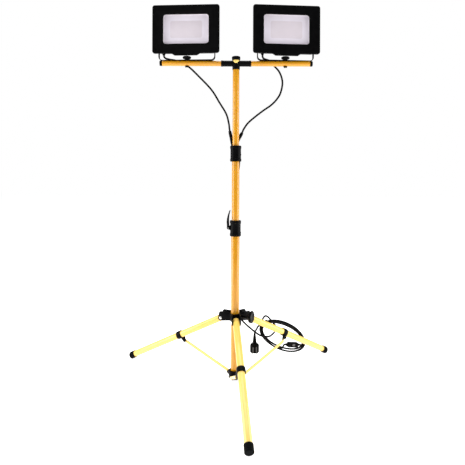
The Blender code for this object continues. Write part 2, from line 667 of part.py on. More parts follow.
def brace(side, turn, body):
    """One flat brace, from its pin on the base hub to the rivet beside the leg's clamp."""
    slope = math.radians(LEG_SLOPE)
    pin = (
        LEG_PIVOT[0] + BRACE_ALONG * math.cos(slope) - BRACE_BELOW * math.sin(slope),
        LEG_PIVOT[1] - BRACE_ALONG * math.sin(slope) - BRACE_BELOW * math.cos(slope),
    )
    reach = (pin[0] - BRACE_PIVOT[0], pin[1] - BRACE_PIVOT[1])
    length = math.hypot(*reach)
    rise = math.degrees(math.atan2(reach[1], reach[0]))
    plane = empty("brace_plane_" + side, body, (0, 0, 0), (0, 0, turn))
    frame = empty("brace_pivot_" + side, plane, (BRACE_PIVOT[0], 0, BRACE_PIVOT[1]), (0, -rise, 0))
    end = BRACE_WIDE / 2
    outline = arc((0, 0), end, 90, 270, 8) + arc((length, 0), end, -90, 90, 8)
    hole = arc((0, 0), BOLT_RADIUS + GAP, 0, 342, 13)
    strip = plate("brace_" + side, [outline, hole], BRACE_THICK, YELLOW, frame,
                  place=(0, -(BRACE_SIDE + BRACE_THICK / 2), 0))
    rivet = rod("rivet_" + side, 4.5 * MM, 19 * MM, 22 * MM, None, frame, place=(length, 0, 0),
                turn=(90, 0, 0), cutter=True, sides=14)
    combine(strip, rivet, "UNION")


def splitter(body):
    """The moulded Y where the two lamp leads join the main cord."""
    ends = {"left": (-23.5, 33.0, 948.0), "right": (24.5, 33.0, 941.0), "low": (-9.0, 34.0, 850.0)}
    joint = Vector((-9.0, 34.0, 878.0)) * MM
    shapes = []
    for name, end in ends.items():
        way = Vector(end) * MM - joint
        frame = empty("splitter_" + name, body, joint)
        frame.rotation_euler = way.to_track_quat("Z", "Y").to_euler()
        long = way.length
        profile = [(0, long), (5.8 * MM, long), (6.3 * MM, long * 0.86), (5.6 * MM, 4 * MM), (5.6 * MM, -2 * MM),
                   (0, -2 * MM)]
        cutter = name != "low"
        title = "splitter_arm_" + name if cutter else "cord_splitter"
        shapes.append(turned(title, profile, RUBBER, frame, cutter=cutter, sides=14))
    combine(shapes[2], shapes[0], "UNION")
    combine(shapes[2], shapes[1], "UNION")


def cord_set(stand, leg_frame, hub):
    """The leads, the main cord with its coil and switch, and the tail with its plug."""
    cord("lead_left", LEFT_LEAD, stand)
    cord("lead_right", RIGHT_LEAD, stand)
    cord("main_cord", MAIN_CORD, stand)
    cord("tail_cord", TAIL_CORD, stand)
    count = 36
    ring = []
    for i in range(count):
        a = math.tau * i / count
        along = COIL_CENTRE[0] + COIL_HALF[0] * math.cos(a)
        below = COIL_CENTRE[1] + COIL_HALF[1] * math.sin(a)
        ring.append(Vector((below, COIL_SIDE, along)))
    wire("cord_coil", ring, COIL_RADIUS, RUBBER, leg_frame, closed=True)
    x, y = PLUG_PLACE
    plug = turned(
        "plug",
        [(0, 135.5 * MM), (4.6 * MM, 135.5 * MM), (5.6 * MM, 118 * MM), (8 * MM, 104 * MM), (9 * MM, 97 * MM),
         (16.5 * MM, 94 * MM), (18.3 * MM, 90 * MM), (18.3 * MM, 63 * MM), (17.0 * MM, 61.4 * MM), (0, 61.4 * MM)],
        RUBBER, hub, place=(x, y, 0),
    )
    for way in (-1, 1):
        pin = rod(f"plug_pin_{way}", 2.4 * MM, 42 * MM, 65 * MM, None, hub,
                  place=(x + way * PIN_OFFSET, y, 0), cutter=True, sides=14)
        combine(plug, pin, "UNION")
    switch(leg_frame)


def switch(leg_frame):
    """The inline switch on one strand of the coil: a rounded body with a pocket, and its rocker."""
    below, along = SWITCH_CENTRE[1], SWITCH_CENTRE[0]
    frame = empty("switch_frame", leg_frame, (below, COIL_SIDE, along), (0, -SWITCH_TURN, 0))
    half, wide, deep = 28 * MM, 10 * MM, 7.0 * MM
    outline = [(z, -x) for x, z in rounded(half, -wide, wide, 6 * MM)]
    body = plate("switch_body", [outline], 2 * deep, RUBBER, frame)
    pocket = box("switch_pocket", (-4.6 * MM, -deep - 5 * MM, -8.3 * MM), (4.6 * MM, 0.6 * MM - deep + 5 * MM, 8.3 * MM),
                 None, frame, cutter=True)
    combine(body, pocket)
    pivot = empty("rocker_pivot", frame, (0, 2 * MM - deep, 0), (-6, 0, 0))
    edge = [(-7.5, 4.2), (0, 2.6), (7.5, 4.2), (7.5, 1.5), (0, -1.5), (-7.5, 1.5)]
    plate("switch_rocker", [[(x * MM, z * MM) for x, z in edge]], 8 * MM, RUBBER, pivot,
          turn=(180, -90, 0))


def centre_on_origin(stand):
    """Moves the stand so that the feet and lamps are centred on the origin, standing on z = 0."""
    bpy.context.view_layer.update()
    graph = bpy.context.evaluated_depsgraph_get()
    points = []
    for made in PARTS.objects:
        if made.type == "MESH" and made.name.startswith(("foot_", "front_frame_", "top_cap")):
            shown = made.evaluated_get(graph)
            points += [shown.matrix_world @ v.co for v in shown.data.vertices]
    for i in (0, 1):
        values = [p[i] for p in points]
        stand.location[i] = -(min(values) + max(values)) / 2


def build():
    stand = empty("stand")
    floor_cut = box("below_floor", (-1, -1, -0.2), (1, 1, 0), None, stand, cutter=True)
    tube("lower_tube", LOWER_TUBE, YELLOW, stand)
    tube("middle_tube", MIDDLE_TUBE, YELLOW, stand)
    tube("upper_tube", UPPER_TUBE, YELLOW, stand)
    collar_and_lever("lower", LOWER_TUBE[0], MIDDLE_TUBE[0], LOWER_COLLAR_BASE, LOWER_LEVER_TURN, False, stand)
    collar_and_lever("upper", MIDDLE_TUBE[0], UPPER_TUBE[0], UPPER_COLLAR_BASE, UPPER_LEVER_TURN, True, stand)
    mast_head(stand)
    for side in LAMP_PLACES:
        lamp(side, stand)
    base_hub(stand)
    sliding_hub(stand)
    frames = {}
    for side, turn in TRIPOD_TURNS.items():
        frames[side] = leg(side, turn, stand, floor_cut)
        brace(side, turn, stand)
    splitter(stand)
    cord_set(stand, frames["right"], stand)
    centre_on_origin(stand)


build()
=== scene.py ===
import math

import bmesh
import bpy
from mathutils import Matrix, Vector


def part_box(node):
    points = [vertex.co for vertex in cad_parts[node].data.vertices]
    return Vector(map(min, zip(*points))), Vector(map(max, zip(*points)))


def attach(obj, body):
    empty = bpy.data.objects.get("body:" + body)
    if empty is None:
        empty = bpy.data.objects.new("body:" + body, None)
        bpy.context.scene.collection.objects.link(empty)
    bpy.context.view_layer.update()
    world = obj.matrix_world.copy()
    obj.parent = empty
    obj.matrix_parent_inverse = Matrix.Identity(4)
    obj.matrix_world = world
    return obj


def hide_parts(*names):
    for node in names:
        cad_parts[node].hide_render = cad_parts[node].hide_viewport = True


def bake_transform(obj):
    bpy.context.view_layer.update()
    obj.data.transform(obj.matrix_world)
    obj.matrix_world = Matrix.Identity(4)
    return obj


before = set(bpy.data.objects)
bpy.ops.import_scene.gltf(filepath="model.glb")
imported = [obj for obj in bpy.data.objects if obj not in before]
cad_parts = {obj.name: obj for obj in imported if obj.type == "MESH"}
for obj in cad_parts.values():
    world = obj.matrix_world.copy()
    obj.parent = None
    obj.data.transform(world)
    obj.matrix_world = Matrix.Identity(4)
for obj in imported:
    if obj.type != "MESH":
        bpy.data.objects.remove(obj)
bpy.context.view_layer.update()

MM = 0.001
SIDES = 64
ROD_SIDES = 48
SLEEVE_SIDES = 40
SMALL_SIDES = 32
SCREW_SIDES = 24
CORD_SIDES = 16
HEXAGON = 6
CORNER_STEPS = 8
CURVE_STEPS = 16

# Mast. Each tube is a radius, a low end and a high end.
LOWER_TUBE = (16.0, 11.3, 600.0)
MIDDLE_TUBE = (14.2, 330.0, 883.0)
UPPER_TUBE = (12.5, 640.0, 1186.0)
LOWER_WALL = 1.2
UPPER_WALL = 1.1
COLLAR_HEIGHT = 60.0
COLLAR_RADIUS = 21.3
LOWER_COLLAR_BASE = 545.0
UPPER_COLLAR_BASE = 828.0
LEVER_PIN_OUT = 27.5
LEVER_PIN_HEIGHT = 32.0
LEVER_WIDTH = 12.0
UPPER_LEVER_TURN = 68.0
LOWER_LEVER_TURN = 180.0

# Crossbar.
BAR_HEIGHT = 1200.0
BAR_RADIUS = 10.0
BAR_HALF = 280.0
BAR_CAP_HALF = 290.0
BAR_WALL = 1.2
SLIDING_GAP = 0.3

# Lamps. Each place is a distance along the crossbar and a pan in degrees. Heights are above the bar.
LAMP_PLACES = {"left": (-187.0, -3.5), "right": (187.0, 4.0)}
LAMP_HALF = 126.5
LAMP_LOW = 31.5
LAMP_HIGH = 212.0
LAMP_CORNER = 9.5
TAB_WIDE = 55.0
TAB_NARROW = 42.0
TAB_DROP = 8.0
SCREW_INSET = 12.0
FRAME_FRONT = -30.0
FRAME_BACK = -22.0
WINDOW_HALF = 86.0
WINDOW_LOW = 67.0
WINDOW_HIGH = 177.5
WINDOW_CORNER = 11.0
PANE_THICK = 3.0
# Half width and half height of the darker sheet on each pane's centre, a painted shade.
PAINTED_SHADE_HALF = (60.0, 32.0)
REFLECTOR_DEEP = 20.0
BOARD_THICK = 0.9
ARRAY_HALF = 46.0
ARRAY_INSET = 31.0
HOUSING_HALF = 104.9
HOUSING_BACK = 12.0
HOUSING_LOW = 40.0
HOUSING_HIGH = 203.0
HOUSING_WALL = 2.5
GLAND_PLACE = (-88.0, -2.0)
FIN_DEPTH = 12.0
FIN_THICK = 2.0
FIN_SPAN = 176.0
FIN_COUNT = 17
TILT_HEIGHT = 70.0
YOKE_HALF = 107.8
YOKE_THICK = 2.5
YOKE_BASE = 10.3
YOKE_WIDE = 16.0
YOKE_BEND = 15.0
YOKE_ABOVE_AXIS = 9.0

# Tripod. Pivots are a distance out from the mast and a height.
TRIPOD_TURNS = {"front": -85.2, "right": 34.8, "left": 154.8}
LEG_PIVOT = (53.5, 232.0)
LEG_SLOPE = 27.0
LEG_RADIUS = 12.5
LEG_WALL = 1.3
LEG_END = 486.0
BRACE_ALONG = 214.0
BRACE_BELOW = 29.0
BRACE_PIVOT = (30.7, 20.0)
BRACE_SIDE = 15.8
BRACE_THICK = 4.0
BRACE_WIDE = 10.5
CLAMP_EAR = 5.6
CLAMP_HALF = 10.0
LEG_PIN_OUT = 19.5
BRACE_RIVET_OUT = 22.0
BASE_PIN_OUT = 22.6
HUB_BORE = 16.3
HUB_LOW = 226.0
HUB_HIGH = 253.0
CHEEK_IN = 13.2
CHEEK_OUT = 17.0
HUB_KNOB_TURN = -25.0
HUB_KNOB_HEIGHT = 246.0

# Cords. The coil and the switch are placed along and below the right leg. Angles are in degrees.
CORD_RADIUS = 3.5
CORD_STEP = 5.0
LEAD_STEP = 4.0
COIL_SIDE = 24.0
COIL_CENTRE = (241.0, 15.0)
COIL_HALF = (128.0, 49.0)
COIL_TURNS = 4
COIL_START = 200.0
COIL_END = 195.0
COIL_POINTS = 46
STRAND_OFFSET = 4.95
STRAND_TWIST = -20.0
SLACK = 0.5
SLACK_AT = 35.0
TIE_AT = 208.0
SWITCH_CENTRE = (308.0, 33.0)
SWITCH_TURN = 15.0
PLUG_PLACE = (79.5, 116.0)
PIN_OFFSET = 9.5
STRAIN_RIBS = 7
HUB_CORD_HEIGHT = 262.0
SPLITTER_MIDDLE = (-9.0, 34.0, 878.0)
SPLITTER_ENDS = {"low": (-9.0, 34.0, 850.0), "left": (-23.5, 33.0, 948.0), "right": (24.5, 33.0, 941.0)}

# Steps along each lead at which the tilt's bend ends and the pan's bend ends.
LEAD_BENDS = {"left": (14, 30), "right": (12, 28)}

LEFT_LEAD = [
    (-275.0, 3.4, 1229.2), (-274.0, 4.8, 1225.5), (-267.8, 10.4, 1221.0), (-253.2, 19.5, 1219.5),
    (-238.0, 26.0, 1219.0), (-222.0, 28.0, 1214.0), (-185.0, 27.0, 1195.5),
    (-143.0, 27.0, 1156.5), (-94.5, 28.0, 1105.5), (-62.5, 29.0, 1055.0),
    (-37.5, 30.0, 1013.5), (-27.5, 31.0, 978.0), (-24.5, 32.5, 955.0), (-23.5, 33.0, 948.5),
]
RIGHT_LEAD = [
    (99.4, -8.0, 1229.2), (99.9, -6.5, 1225.5), (103.5, 1.0, 1221.0), (112.0, 12.0, 1220.0),
    (126.0, 21.0, 1217.5),
    (146.0, 25.0, 1198.5), (167.5, 26.0, 1173.5), (178.8, 26.0, 1136.5), (172.5, 27.0, 1097.0),
    (158.5, 28.0, 1071.5), (136.0, 29.0, 1048.0), (104.0, 30.0, 1025.5), (72.5, 30.0, 1001.0),
    (47.0, 31.0, 978.5), (31.0, 32.5, 956.0), (24.5, 33.0, 941.5),
]
MAIN_CORD = [
    (-9.0, 34.0, 849.5), (-9.0, 34.0, 800.0), (-8.0, 33.5, 700.0), (-7.0, 33.0, 600.0),
    (-8.0, 33.0, 500.0), (-8.5, 33.5, 400.0), (-7.5, 34.0, 320.0), (-5.0, 35.0, 270.0),
    (3.0, 40.0, 240.0), (14.0, 47.5, 223.5), (26.5, 55.0, 209.0), (51.5, 70.0, 181.0),
    (80.0, 82.5, 154.0), (102.5, 87.0, 138.5), (132.5, 106.0, 127.5), (149.0, 122.5, 129.0),
    (162.0, 134.5, 138.0), (168.0, 140.5, 152.0), (162.5, 130.0, 168.0), (151.0, 118.5, 184.0),
    (141.0, 114.0, 197.0), (131.0, 108.5, 208.0), (121.5, 106.0, 211.0), (114.0, 107.5, 203.0),
    (111.0, 107.0, 192.0), (110.5, 106.5, 184.0),
]
TAIL_CORD = [
    (98.0, 106.5, 176.0), (94.5, 109.0, 169.0), (87.5, 113.0, 156.0), (80.5, 115.8, 143.5),
    (79.5, 116.0, 136.6),
]


# Frames of the assembly.

def turn_about(axis, degrees):
    return Matrix.Rotation(math.radians(degrees), 4, axis)


def shift(x, y, z):
    return Matrix.Translation((x * MM, y * MM, z * MM))


low_corner, high_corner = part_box("lower_tube")
STAND = Matrix.Translation(((low_corner.x + high_corner.x) / 2, (low_corner.y + high_corner.y) / 2, 0))
PLANES = {side: STAND @ turn_about("Z", turn) for side, turn in TRIPOD_TURNS.items()}
LEGS = {
    side: plane @ shift(LEG_PIVOT[0], 0, LEG_PIVOT[1]) @ turn_about("Y", 90 + LEG_SLOPE)
    for side, plane in PLANES.items()
}
YOKES = {
    side: STAND @ shift(x, 0, BAR_HEIGHT) @ turn_about("Z", pan)
    for side, (x, pan) in LAMP_PLACES.items()
}
LAMPS = {side: yoke @ shift(0, 0, TILT_HEIGHT) for side, yoke in YOKES.items()}


# Materials.

def add(tree, kind, **values):
    node = tree.nodes.new("ShaderNode" + kind)
    for key, value in values.items():
        name = key.replace("_", " ")
        if name in node.inputs:
            node.inputs[name].default_value = value
        else:
            setattr(node, key, value)
    return node


def surface(name, colour, other, rough, spread=0.06, metallic=0.0, grain=900.0, depth=0.02, patch=30.0,
            stretch=(1, 1, 1), coat=0.0, specular=0.5):
    """A painted, moulded or metal surface: two tones in patches, uneven gloss and a fine grain."""
    made = bpy.data.materials.new(name)
    made.use_nodes = True
    tree = made.node_tree
    shader = tree.nodes["Principled BSDF"]
    shader.inputs["Metallic"].default_value = metallic
    shader.inputs["Coat Weight"].default_value = coat
    shader.inputs["Coat Roughness"].default_value = 0.12
    shader.inputs["Specular IOR Level"].default_value = specular
    place = add(tree, "TexCoord")
    scale = add(tree, "Mapping")
    scale.inputs["Scale"].default_value = stretch
    tree.links.new(place.outputs["Object"], scale.inputs["Vector"])
    patches = add(tree, "TexNoise", Scale=patch, Detail=5.0, Roughness=0.6)
    fine = add(tree, "TexNoise", Scale=grain, Detail=3.0)
    for texture in (patches, fine):
        tree.links.new(scale.outputs["Vector"], texture.inputs["Vector"])
    tones = add(tree, "ValToRGB")
    tones.color_ramp.elements[0].position = 0.35
    tones.color_ramp.elements[1].position = 0.7
    tones.color_ramp.elements[0].color = (*colour, 1)
    tones.color_ramp.elements[1].color = (*other, 1)
    tree.links.new(patches.outputs["Fac"], tones.inputs["Fac"])
    tree.links.new(tones.outputs["Color"], shader.inputs["Base Color"])
    gloss = add(tree, "MapRange")
    gloss.inputs["To Min"].default_value = rough - spread
    gloss.inputs["To Max"].default_value = rough + spread
    tree.links.new(patches.outputs["Fac"], gloss.inputs["Value"])
    tree.links.new(gloss.outputs["Result"], shader.inputs["Roughness"])
    bump = add(tree, "Bump", Strength=0.35, Distance=depth * MM)
    tree.links.new(fine.outputs["Fac"], bump.inputs["Height"])
    tree.links.new(bump.outputs["Normal"], shader.inputs["Normal"])
    return made


YELLOW = surface("yellow_powder_coat", (0.58, 0.245, 0.002), (0.64, 0.285, 0.004), 0.30, 0.05, grain=1300,
                 depth=0.03, patch=14, coat=0.7, specular=0.3)
# A paler copy of the yellow paint for the legs: painted light standing in for the strong top light and sheen
# that fall on them.
LEG_YELLOW_PAINTED_LIGHT = surface("yellow_paint_painted_light_legs", (0.86, 0.58, 0.11), (0.91, 0.63, 0.14), 0.34, 0.05, grain=1300,
                     depth=0.03, patch=14, coat=0.6)
# A paler copy of the yellow paint for the braces and the mast's top band: painted light standing in for the
# top light that falls on them.
PALE_YELLOW_PAINTED_LIGHT = surface("yellow_paint_painted_light_strips", (0.88, 0.62, 0.15), (0.93, 0.68, 0.19), 0.42, grain=1300,
                      depth=0.03, patch=40, coat=0.3)
BLACK = surface("black_moulded_plastic", (0.0010, 0.0010, 0.0012), (0.0022, 0.0022, 0.0024), 0.36,
                grain=2200, depth=0.06, patch=60, specular=0.05)
SATIN = surface("black_powder_coat", (0.0008, 0.0008, 0.0010), (0.0016, 0.0016, 0.0018), 0.34,
                grain=1800, depth=0.05, patch=50, specular=0.03)
RUBBER = surface("black_rubber", (0.0012, 0.0012, 0.0012), (0.0026, 0.0026, 0.0025), 0.60, grain=1600,
                 depth=0.05, patch=90, specular=0.05)
SHEATH = surface("cord_sheath", (0.0008, 0.0008, 0.0010), (0.0018, 0.0018, 0.0018), 0.44, grain=2600,
                 depth=0.04, patch=120, specular=0.05)
STEEL = surface("zinc_plated_steel", (0.60, 0.60, 0.58), (0.72, 0.71, 0.66), 0.27, 0.08, metallic=1.0,
                grain=1500, depth=0.02, patch=110, stretch=(1, 1, 6))
# Grey for the plug's grip bars; on the switch's rocker this grey is a painted highlight on black plastic.
GREY_AND_PAINTED_HIGHLIGHT = surface("grey_bars_and_painted_highlight", (0.05, 0.05, 0.055), (0.08, 0.08, 0.085), 0.36, grain=2200, depth=0.04)
REFLECTOR = surface("reflector_white", (0.80, 0.74, 0.79), (0.86, 0.80, 0.85), 0.3, grain=600, depth=0.03)
MASK = surface("board_white_mask", (0.74, 0.69, 0.74), (0.8, 0.75, 0.8), 0.4, grain=900, depth=0.02)
PHOSPHOR = surface("led_phosphor", (0.80, 0.70, 0.52), (0.86, 0.76, 0.58), 0.45, grain=2400, depth=0.08)


def frosted_glass(name, colour, other):
    """Etched pane: milky, with a faint uneven haze, letting a little of the lamp's inside through."""
    made = surface(name, colour, other, 0.34, 0.05, grain=1800, depth=0.04, patch=18, coat=0.3)
    shader = made.node_tree.nodes["Principled BSDF"]
    shader.inputs["Transmission Weight"].default_value = 0.06
    shader.inputs["IOR"].default_value = 1.45
    return made


GLASS = frosted_glass("frosted_pane", (0.69, 0.64, 0.71), (0.74, 0.69, 0.77))
# A darker copy of the pane's colour for a sheet on its centre: painted shade standing in for the shaded
# cavity behind the frosted pane.
GLASS_PAINTED_SHADE = frosted_glass("frosted_pane_painted_shade", (0.62, 0.56, 0.61), (0.66, 0.60, 0.65))


# Shapes.

# Angles in degrees for softened and for sharp edges, and welding distances in metres.
BEVEL_ANGLE = 30.0
SHARP_ANGLE = 32.0
CORD_SHARP_ANGLE = 50.0
WELD = 0.000002
CLOSE_WELD = 0.000001
STRAIGHT = 0.01
LOBED_FROM = 10.0


def settled(made, material, body, node=None, bevel=0.0, steps=2):
    """The piece with its modifiers applied and its edges softened, riding on its body."""
    if bevel:
        edge = made.modifiers.new("Bevel", "BEVEL")
        edge.width = bevel * MM
        edge.segments = steps
        edge.limit_method = "ANGLE"
        edge.angle_limit = math.radians(BEVEL_ANGLE)
    bpy.context.view_layer.update()
    graph = bpy.context.evaluated_depsgraph_get()
    mesh = bpy.data.meshes.new_from_object(made.evaluated_get(graph))
    weld = bmesh.new()
    weld.from_mesh(mesh)
    bmesh.ops.remove_doubles(weld, verts=weld.verts, dist=WELD)
    bmesh.ops.recalc_face_normals(weld, faces=weld.faces)
    weld.to_mesh(mesh)
    weld.free()
    mesh.shade_smooth()
    mesh.set_sharp_from_angle(angle=math.radians(SHARP_ANGLE))
    mesh.materials.clear()
    mesh.materials.append(material)
    name, place = made.name, made.matrix_world.copy()
    bpy.data.objects.remove(made, do_unlink=True)
    piece = bpy.data.objects.new(name, mesh)
    bpy.context.collection.objects.link(piece)
    piece.matrix_world = place
    if body:
        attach(piece, body)
    if node:
        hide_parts(node)
    return piece


def spun(name, profile, place, material, body, node=None, sides=SIDES, bevel=0.4, lobes=0, depth=0.0):
    """A profile of (radius, height) turned about the frame's Z, with optional lobes round its rim."""
    shape = bmesh.new()
    rings = []
    for radius, height in profile:
        if radius == 0:
            rings.append([shape.verts.new((0, 0, height * MM))])
            continue
        ring = []
        for i in range(sides):
            a = math.tau * i / sides
            dent = depth * (0.5 - 0.5 * math.cos(lobes * a)) if radius > LOBED_FROM else 0.0
            reach = (radius - dent) * MM
            ring.append(shape.verts.new((reach * math.cos(a), reach * math.sin(a), height * MM)))
        rings.append(ring)
    pairs = list(zip(rings, rings[1:]))
    if profile[0][0] > 0:
        pairs.append((rings[-1], rings[0]))
    for upper, lower in pairs:
        for i in range(sides):
            j = (i + 1) % sides
            corners = [
                upper[i % len(upper)], lower[i % len(lower)], lower[j % len(lower)], upper[j % len(upper)],
            ]
            face = list(dict.fromkeys(corners))
            if len(face) > 2:
                shape.faces.new(face)
    mesh = bpy.data.meshes.new(name)
    shape.to_mesh(mesh)
    shape.free()
    made = bpy.data.objects.new(name, mesh)
    bpy.context.collection.objects.link(made)
    made.matrix_world = place
    return settled(made, material, body, node, bevel)


def pipe(name, outer, wall, low, high, place, material, body, node=None):
    inner = outer - wall
    profile = [(outer, high), (outer, low), (inner, low), (inner, high)]
    return spun(name, profile, place, material, body, node, bevel=0.3)


def rod(name, radius, low, high, place, material, body, node=None, sides=ROD_SIDES, bevel=0.3):
    profile = [(0, high), (radius, high), (radius, low), (0, low)]
    return spun(name, profile, place, material, body, node, sides, bevel)


def cut(name, outlines, thick, place, material, body, node=None, bevel=0.6, steps=3):
    """Flat outlines in (x, z) given a thickness along y, with rounded edges. Later outlines are holes."""
    curve = bpy.data.curves.new(name, "CURVE")
    curve.dimensions = "2D"
    curve.fill_mode = "BOTH"
    curve.extrude = thick * MM / 2
    for outline in outlines:
        spline = curve.splines.new("POLY")
        spline.points.add(len(outline) - 1)
        for point, (x, z) in zip(spline.points, outline):
            point.co = (x * MM, z * MM, 0, 1)
        spline.use_cyclic_u = True
    flat = bpy.data.objects.new(name + "_outline", curve)
    bpy.context.collection.objects.link(flat)
    bpy.context.view_layer.update()
    mesh = bpy.data.meshes.new_from_object(flat.evaluated_get(bpy.context.evaluated_depsgraph_get()))
    bpy.data.objects.remove(flat, do_unlink=True)
    weld = bmesh.new()
    weld.from_mesh(mesh)
    bmesh.ops.remove_doubles(weld, verts=weld.verts, dist=CLOSE_WELD)
    bmesh.ops.dissolve_limit(weld, angle_limit=STRAIGHT, verts=weld.verts, edges=weld.edges)
    weld.to_mesh(mesh)
    weld.free()
    made = bpy.data.objects.new(name, mesh)
    bpy.context.collection.objects.link(made)
    made.matrix_world = place @ turn_about("X", 90)
    return settled(made, material, body, node, bevel, steps)


def arc(centre, radius, start, end, steps=12):
    angles = [math.radians(start + (end - start) * i / steps) for i in range(steps + 1)]
    return [(centre[0] + radius * math.cos(a), centre[1] + radius * math.sin(a)) for a in angles]


def rounded(half, low, high, corner):
    """A rectangle with round corners, as wide as twice half and reaching from low to high."""
    points = []
    for x, z, start in ((half, high, 0), (-half, high, 90), (-half, low, 180), (half, low, 270)):
        centre = (x - math.copysign(corner, x), z - (corner if start < 180 else -corner))
        points += arc(centre, corner, start, start + 90, CORNER_STEPS)
    return points


def smooth_path(points, step):
    """Points a step apart on a Catmull-Rom curve through the route's points."""
    ends = [points[0] * 2 - points[1], *points, points[-1] * 2 - points[-2]]
    fine = []
    for a, b, c, d in zip(ends, ends[1:], ends[2:], ends[3:]):
        for i in range(CURVE_STEPS):
            t = i / CURVE_STEPS
            square = (a * 2 - b * 5 + c * 4 - d) * t**2
            cube = (b * 3 - a - c * 3 + d) * t**3
            fine.append((b * 2 + (c - a) * t + square + cube) / 2)
    fine.append(points[-1])
    lengths = [0.0]
    for a, b in zip(fine, fine[1:]):
        lengths.append(lengths[-1] + (b - a).length)
    count = max(2, round(lengths[-1] / step))
    path, at = [], 0
    for i in range(count + 1):
        want = lengths[-1] * i / count
        while at < len(fine) - 2 and lengths[at + 1] < want:
            at += 1
        path.append(fine[at].lerp(fine[at + 1], (want - lengths[at]) / (lengths[at + 1] - lengths[at])))
    return path


def cord_mesh(name, path):
    """A round cord swept along a path without twisting, with closed ends."""
    radius = CORD_RADIUS * MM
    angles = [math.tau * k / CORD_SIDES for k in range(CORD_SIDES)]
    shape = bmesh.new()
    normal = None
    rings = []
    for i, point in enumerate(path):
        along = (path[min(i + 1, len(path) - 1)] - path[max(i - 1, 0)]).normalized()
        if normal is None:
            normal = along.orthogonal().normalized()
        normal = (normal - along * normal.dot(along)).normalized()
        side = along.cross(normal)
        round_point = [point + (normal * math.cos(a) + side * math.sin(a)) * radius for a in angles]
        rings.append([shape.verts.new(corner) for corner in round_point])
    for upper, lower in zip(rings, rings[1:]):
        for k in range(CORD_SIDES):
            j = (k + 1) % CORD_SIDES
            shape.faces.new((upper[k], upper[j], lower[j], lower[k]))
    shape.faces.new(rings[0])
    shape.faces.new(rings[-1])
    bmesh.ops.recalc_face_normals(shape, faces=shape.faces)
    mesh = bpy.data.meshes.new(name)
    shape.to_mesh(mesh)
    shape.free()
    mesh.shade_smooth()
    mesh.set_sharp_from_angle(angle=math.radians(CORD_SHARP_ANGLE))
    mesh.materials.append(SHEATH)
    made = bpy.data.objects.new(name, mesh)
    bpy.context.collection.objects.link(made)
    return made


# Camera. Its place is in metres, behind the mast and above the floor.

CAMERA_BACK = 1.720
CAMERA_HEIGHT = 0.753
FOCAL = 35.07
ROLL = 0.24
SENSOR = 36.0
SHIFT_X = -0.0067
SHIFT_Y = -0.110


def camera():
    data = bpy.data.cameras.new("camera")
    data.lens = FOCAL
    data.sensor_width = SENSOR
    data.shift_x = SHIFT_X
    data.shift_y = SHIFT_Y
    made = bpy.data.objects.new("camera", data)
    bpy.context.collection.objects.link(made)
    eye = STAND @ Matrix.Translation((0, -CAMERA_BACK, CAMERA_HEIGHT))
    made.matrix_world = eye @ turn_about("X", 90) @ turn_about("Z", ROLL)
    bpy.context.scene.camera = made


camera()


# Cords.

def route(points):
    return [STAND @ (Vector(p) * MM) for p in points]


def stretch(name, path, bodies, nodes, far_end="object", with_pieces=()):
    """One stretch of cord, riding on one body, or left unattached where it runs between two."""
    made = cord_mesh(name, path)
    if len(bodies) == 1:
        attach(made, bodies[0])
    else:
        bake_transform(made)
    if nodes:
        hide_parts(*nodes)


def lead(side, points):
    """A lamp's lead from its gland to the splitter, split where the tilt and the pan bend it."""
    path = smooth_path(route(points), LEAD_STEP * MM)
    first, second = LEAD_BENDS[side]
    stretch(f"lead_{side}_gland_end", path[:first + 1], (f"lamp_{side}", f"yoke_{side}"), [f"lead_{side}"])
    stretch(f"lead_{side}_bar_end", path[first:second + 1], (f"yoke_{side}", "head"), [])
    stretch(f"lead_{side}_run", path[second:], ("head", "middle"), [])


def coil_path():
    """Turns of cord round an oval, twisting about its line so that they lie a diameter apart."""
    points = []
    end = COIL_END - 360.0 * COIL_TURNS
    count = COIL_POINTS * COIL_TURNS
    for i in range(count + 1):
        share = i / count
        angle = COIL_START + (end - COIL_START) * share
        a = math.radians(angle)
        twist = math.radians(STRAND_TWIST - (COIL_START - angle) / COIL_TURNS)
        loose = 1.0 + SLACK * max(0.0, math.cos(a - math.radians(SLACK_AT)))
        out = STRAND_OFFSET * math.cos(twist) * loose
        side = STRAND_OFFSET * math.sin(twist)
        below = COIL_CENTRE[1] + (COIL_HALF[1] + out) * math.sin(a)
        along = COIL_CENTRE[0] + (COIL_HALF[0] + out) * math.cos(a)
        points.append(LEGS["right"] @ (Vector((below, COIL_SIDE + side, along)) * MM))
    return points


def nearest(path, height):
    """The step along the path that is nearest to a height."""
    return min(range(len(path)), key=lambda i: abs(path[i].z - height * MM))


def main_cord():
    """The cord from the splitter down the mast to the coil, the coil itself, and the tail to the plug."""
    coil = coil_path()
    points = route(MAIN_CORD)
    points[-1] = coil[0]
    path = smooth_path(points, CORD_STEP * MM)
    middle_end = nearest(path, LOWER_TUBE[2])
    hub_start = nearest(path, HUB_CORD_HEIGHT)
    stretch("main_cord_upper", path[:middle_end + 1], ("middle", "root"), ["main_cord"])
    stretch("main_cord_riser", path[middle_end:hub_start + 1], ("root", "hub"), [])
    stretch("main_cord_run_in", path[hub_start:], ("hub", "leg_right"), [])
    stretch("cord_coil_turns", smooth_path(coil, CORD_STEP * MM), ("leg_right",), ["cord_coil"],
            with_pieces=["switch_front_shell", "switch_back_shell", "switch_rocker_cap", "coil_tie"])
    tail = route(TAIL_CORD)
    tail[0] = coil[-1]
    stretch("tail_run", smooth_path(tail, LEAD_STEP * MM), ("leg_right", "hub"), ["tail_cord"],
            far_end="plug", with_pieces=["plug_shell", "plug_strain_relief", "plug_prong_a", "plug_prong_b"])


def coil_line(degrees):
    """A point on the middle line of the coil, in the right leg's frame."""
    a = math.radians(degrees)
    below = COIL_CENTRE[1] + COIL_HALF[1] * math.sin(a)
    along = COIL_CENTRE[0] + COIL_HALF[0] * math.cos(a)
    return Vector((below, COIL_SIDE, along))


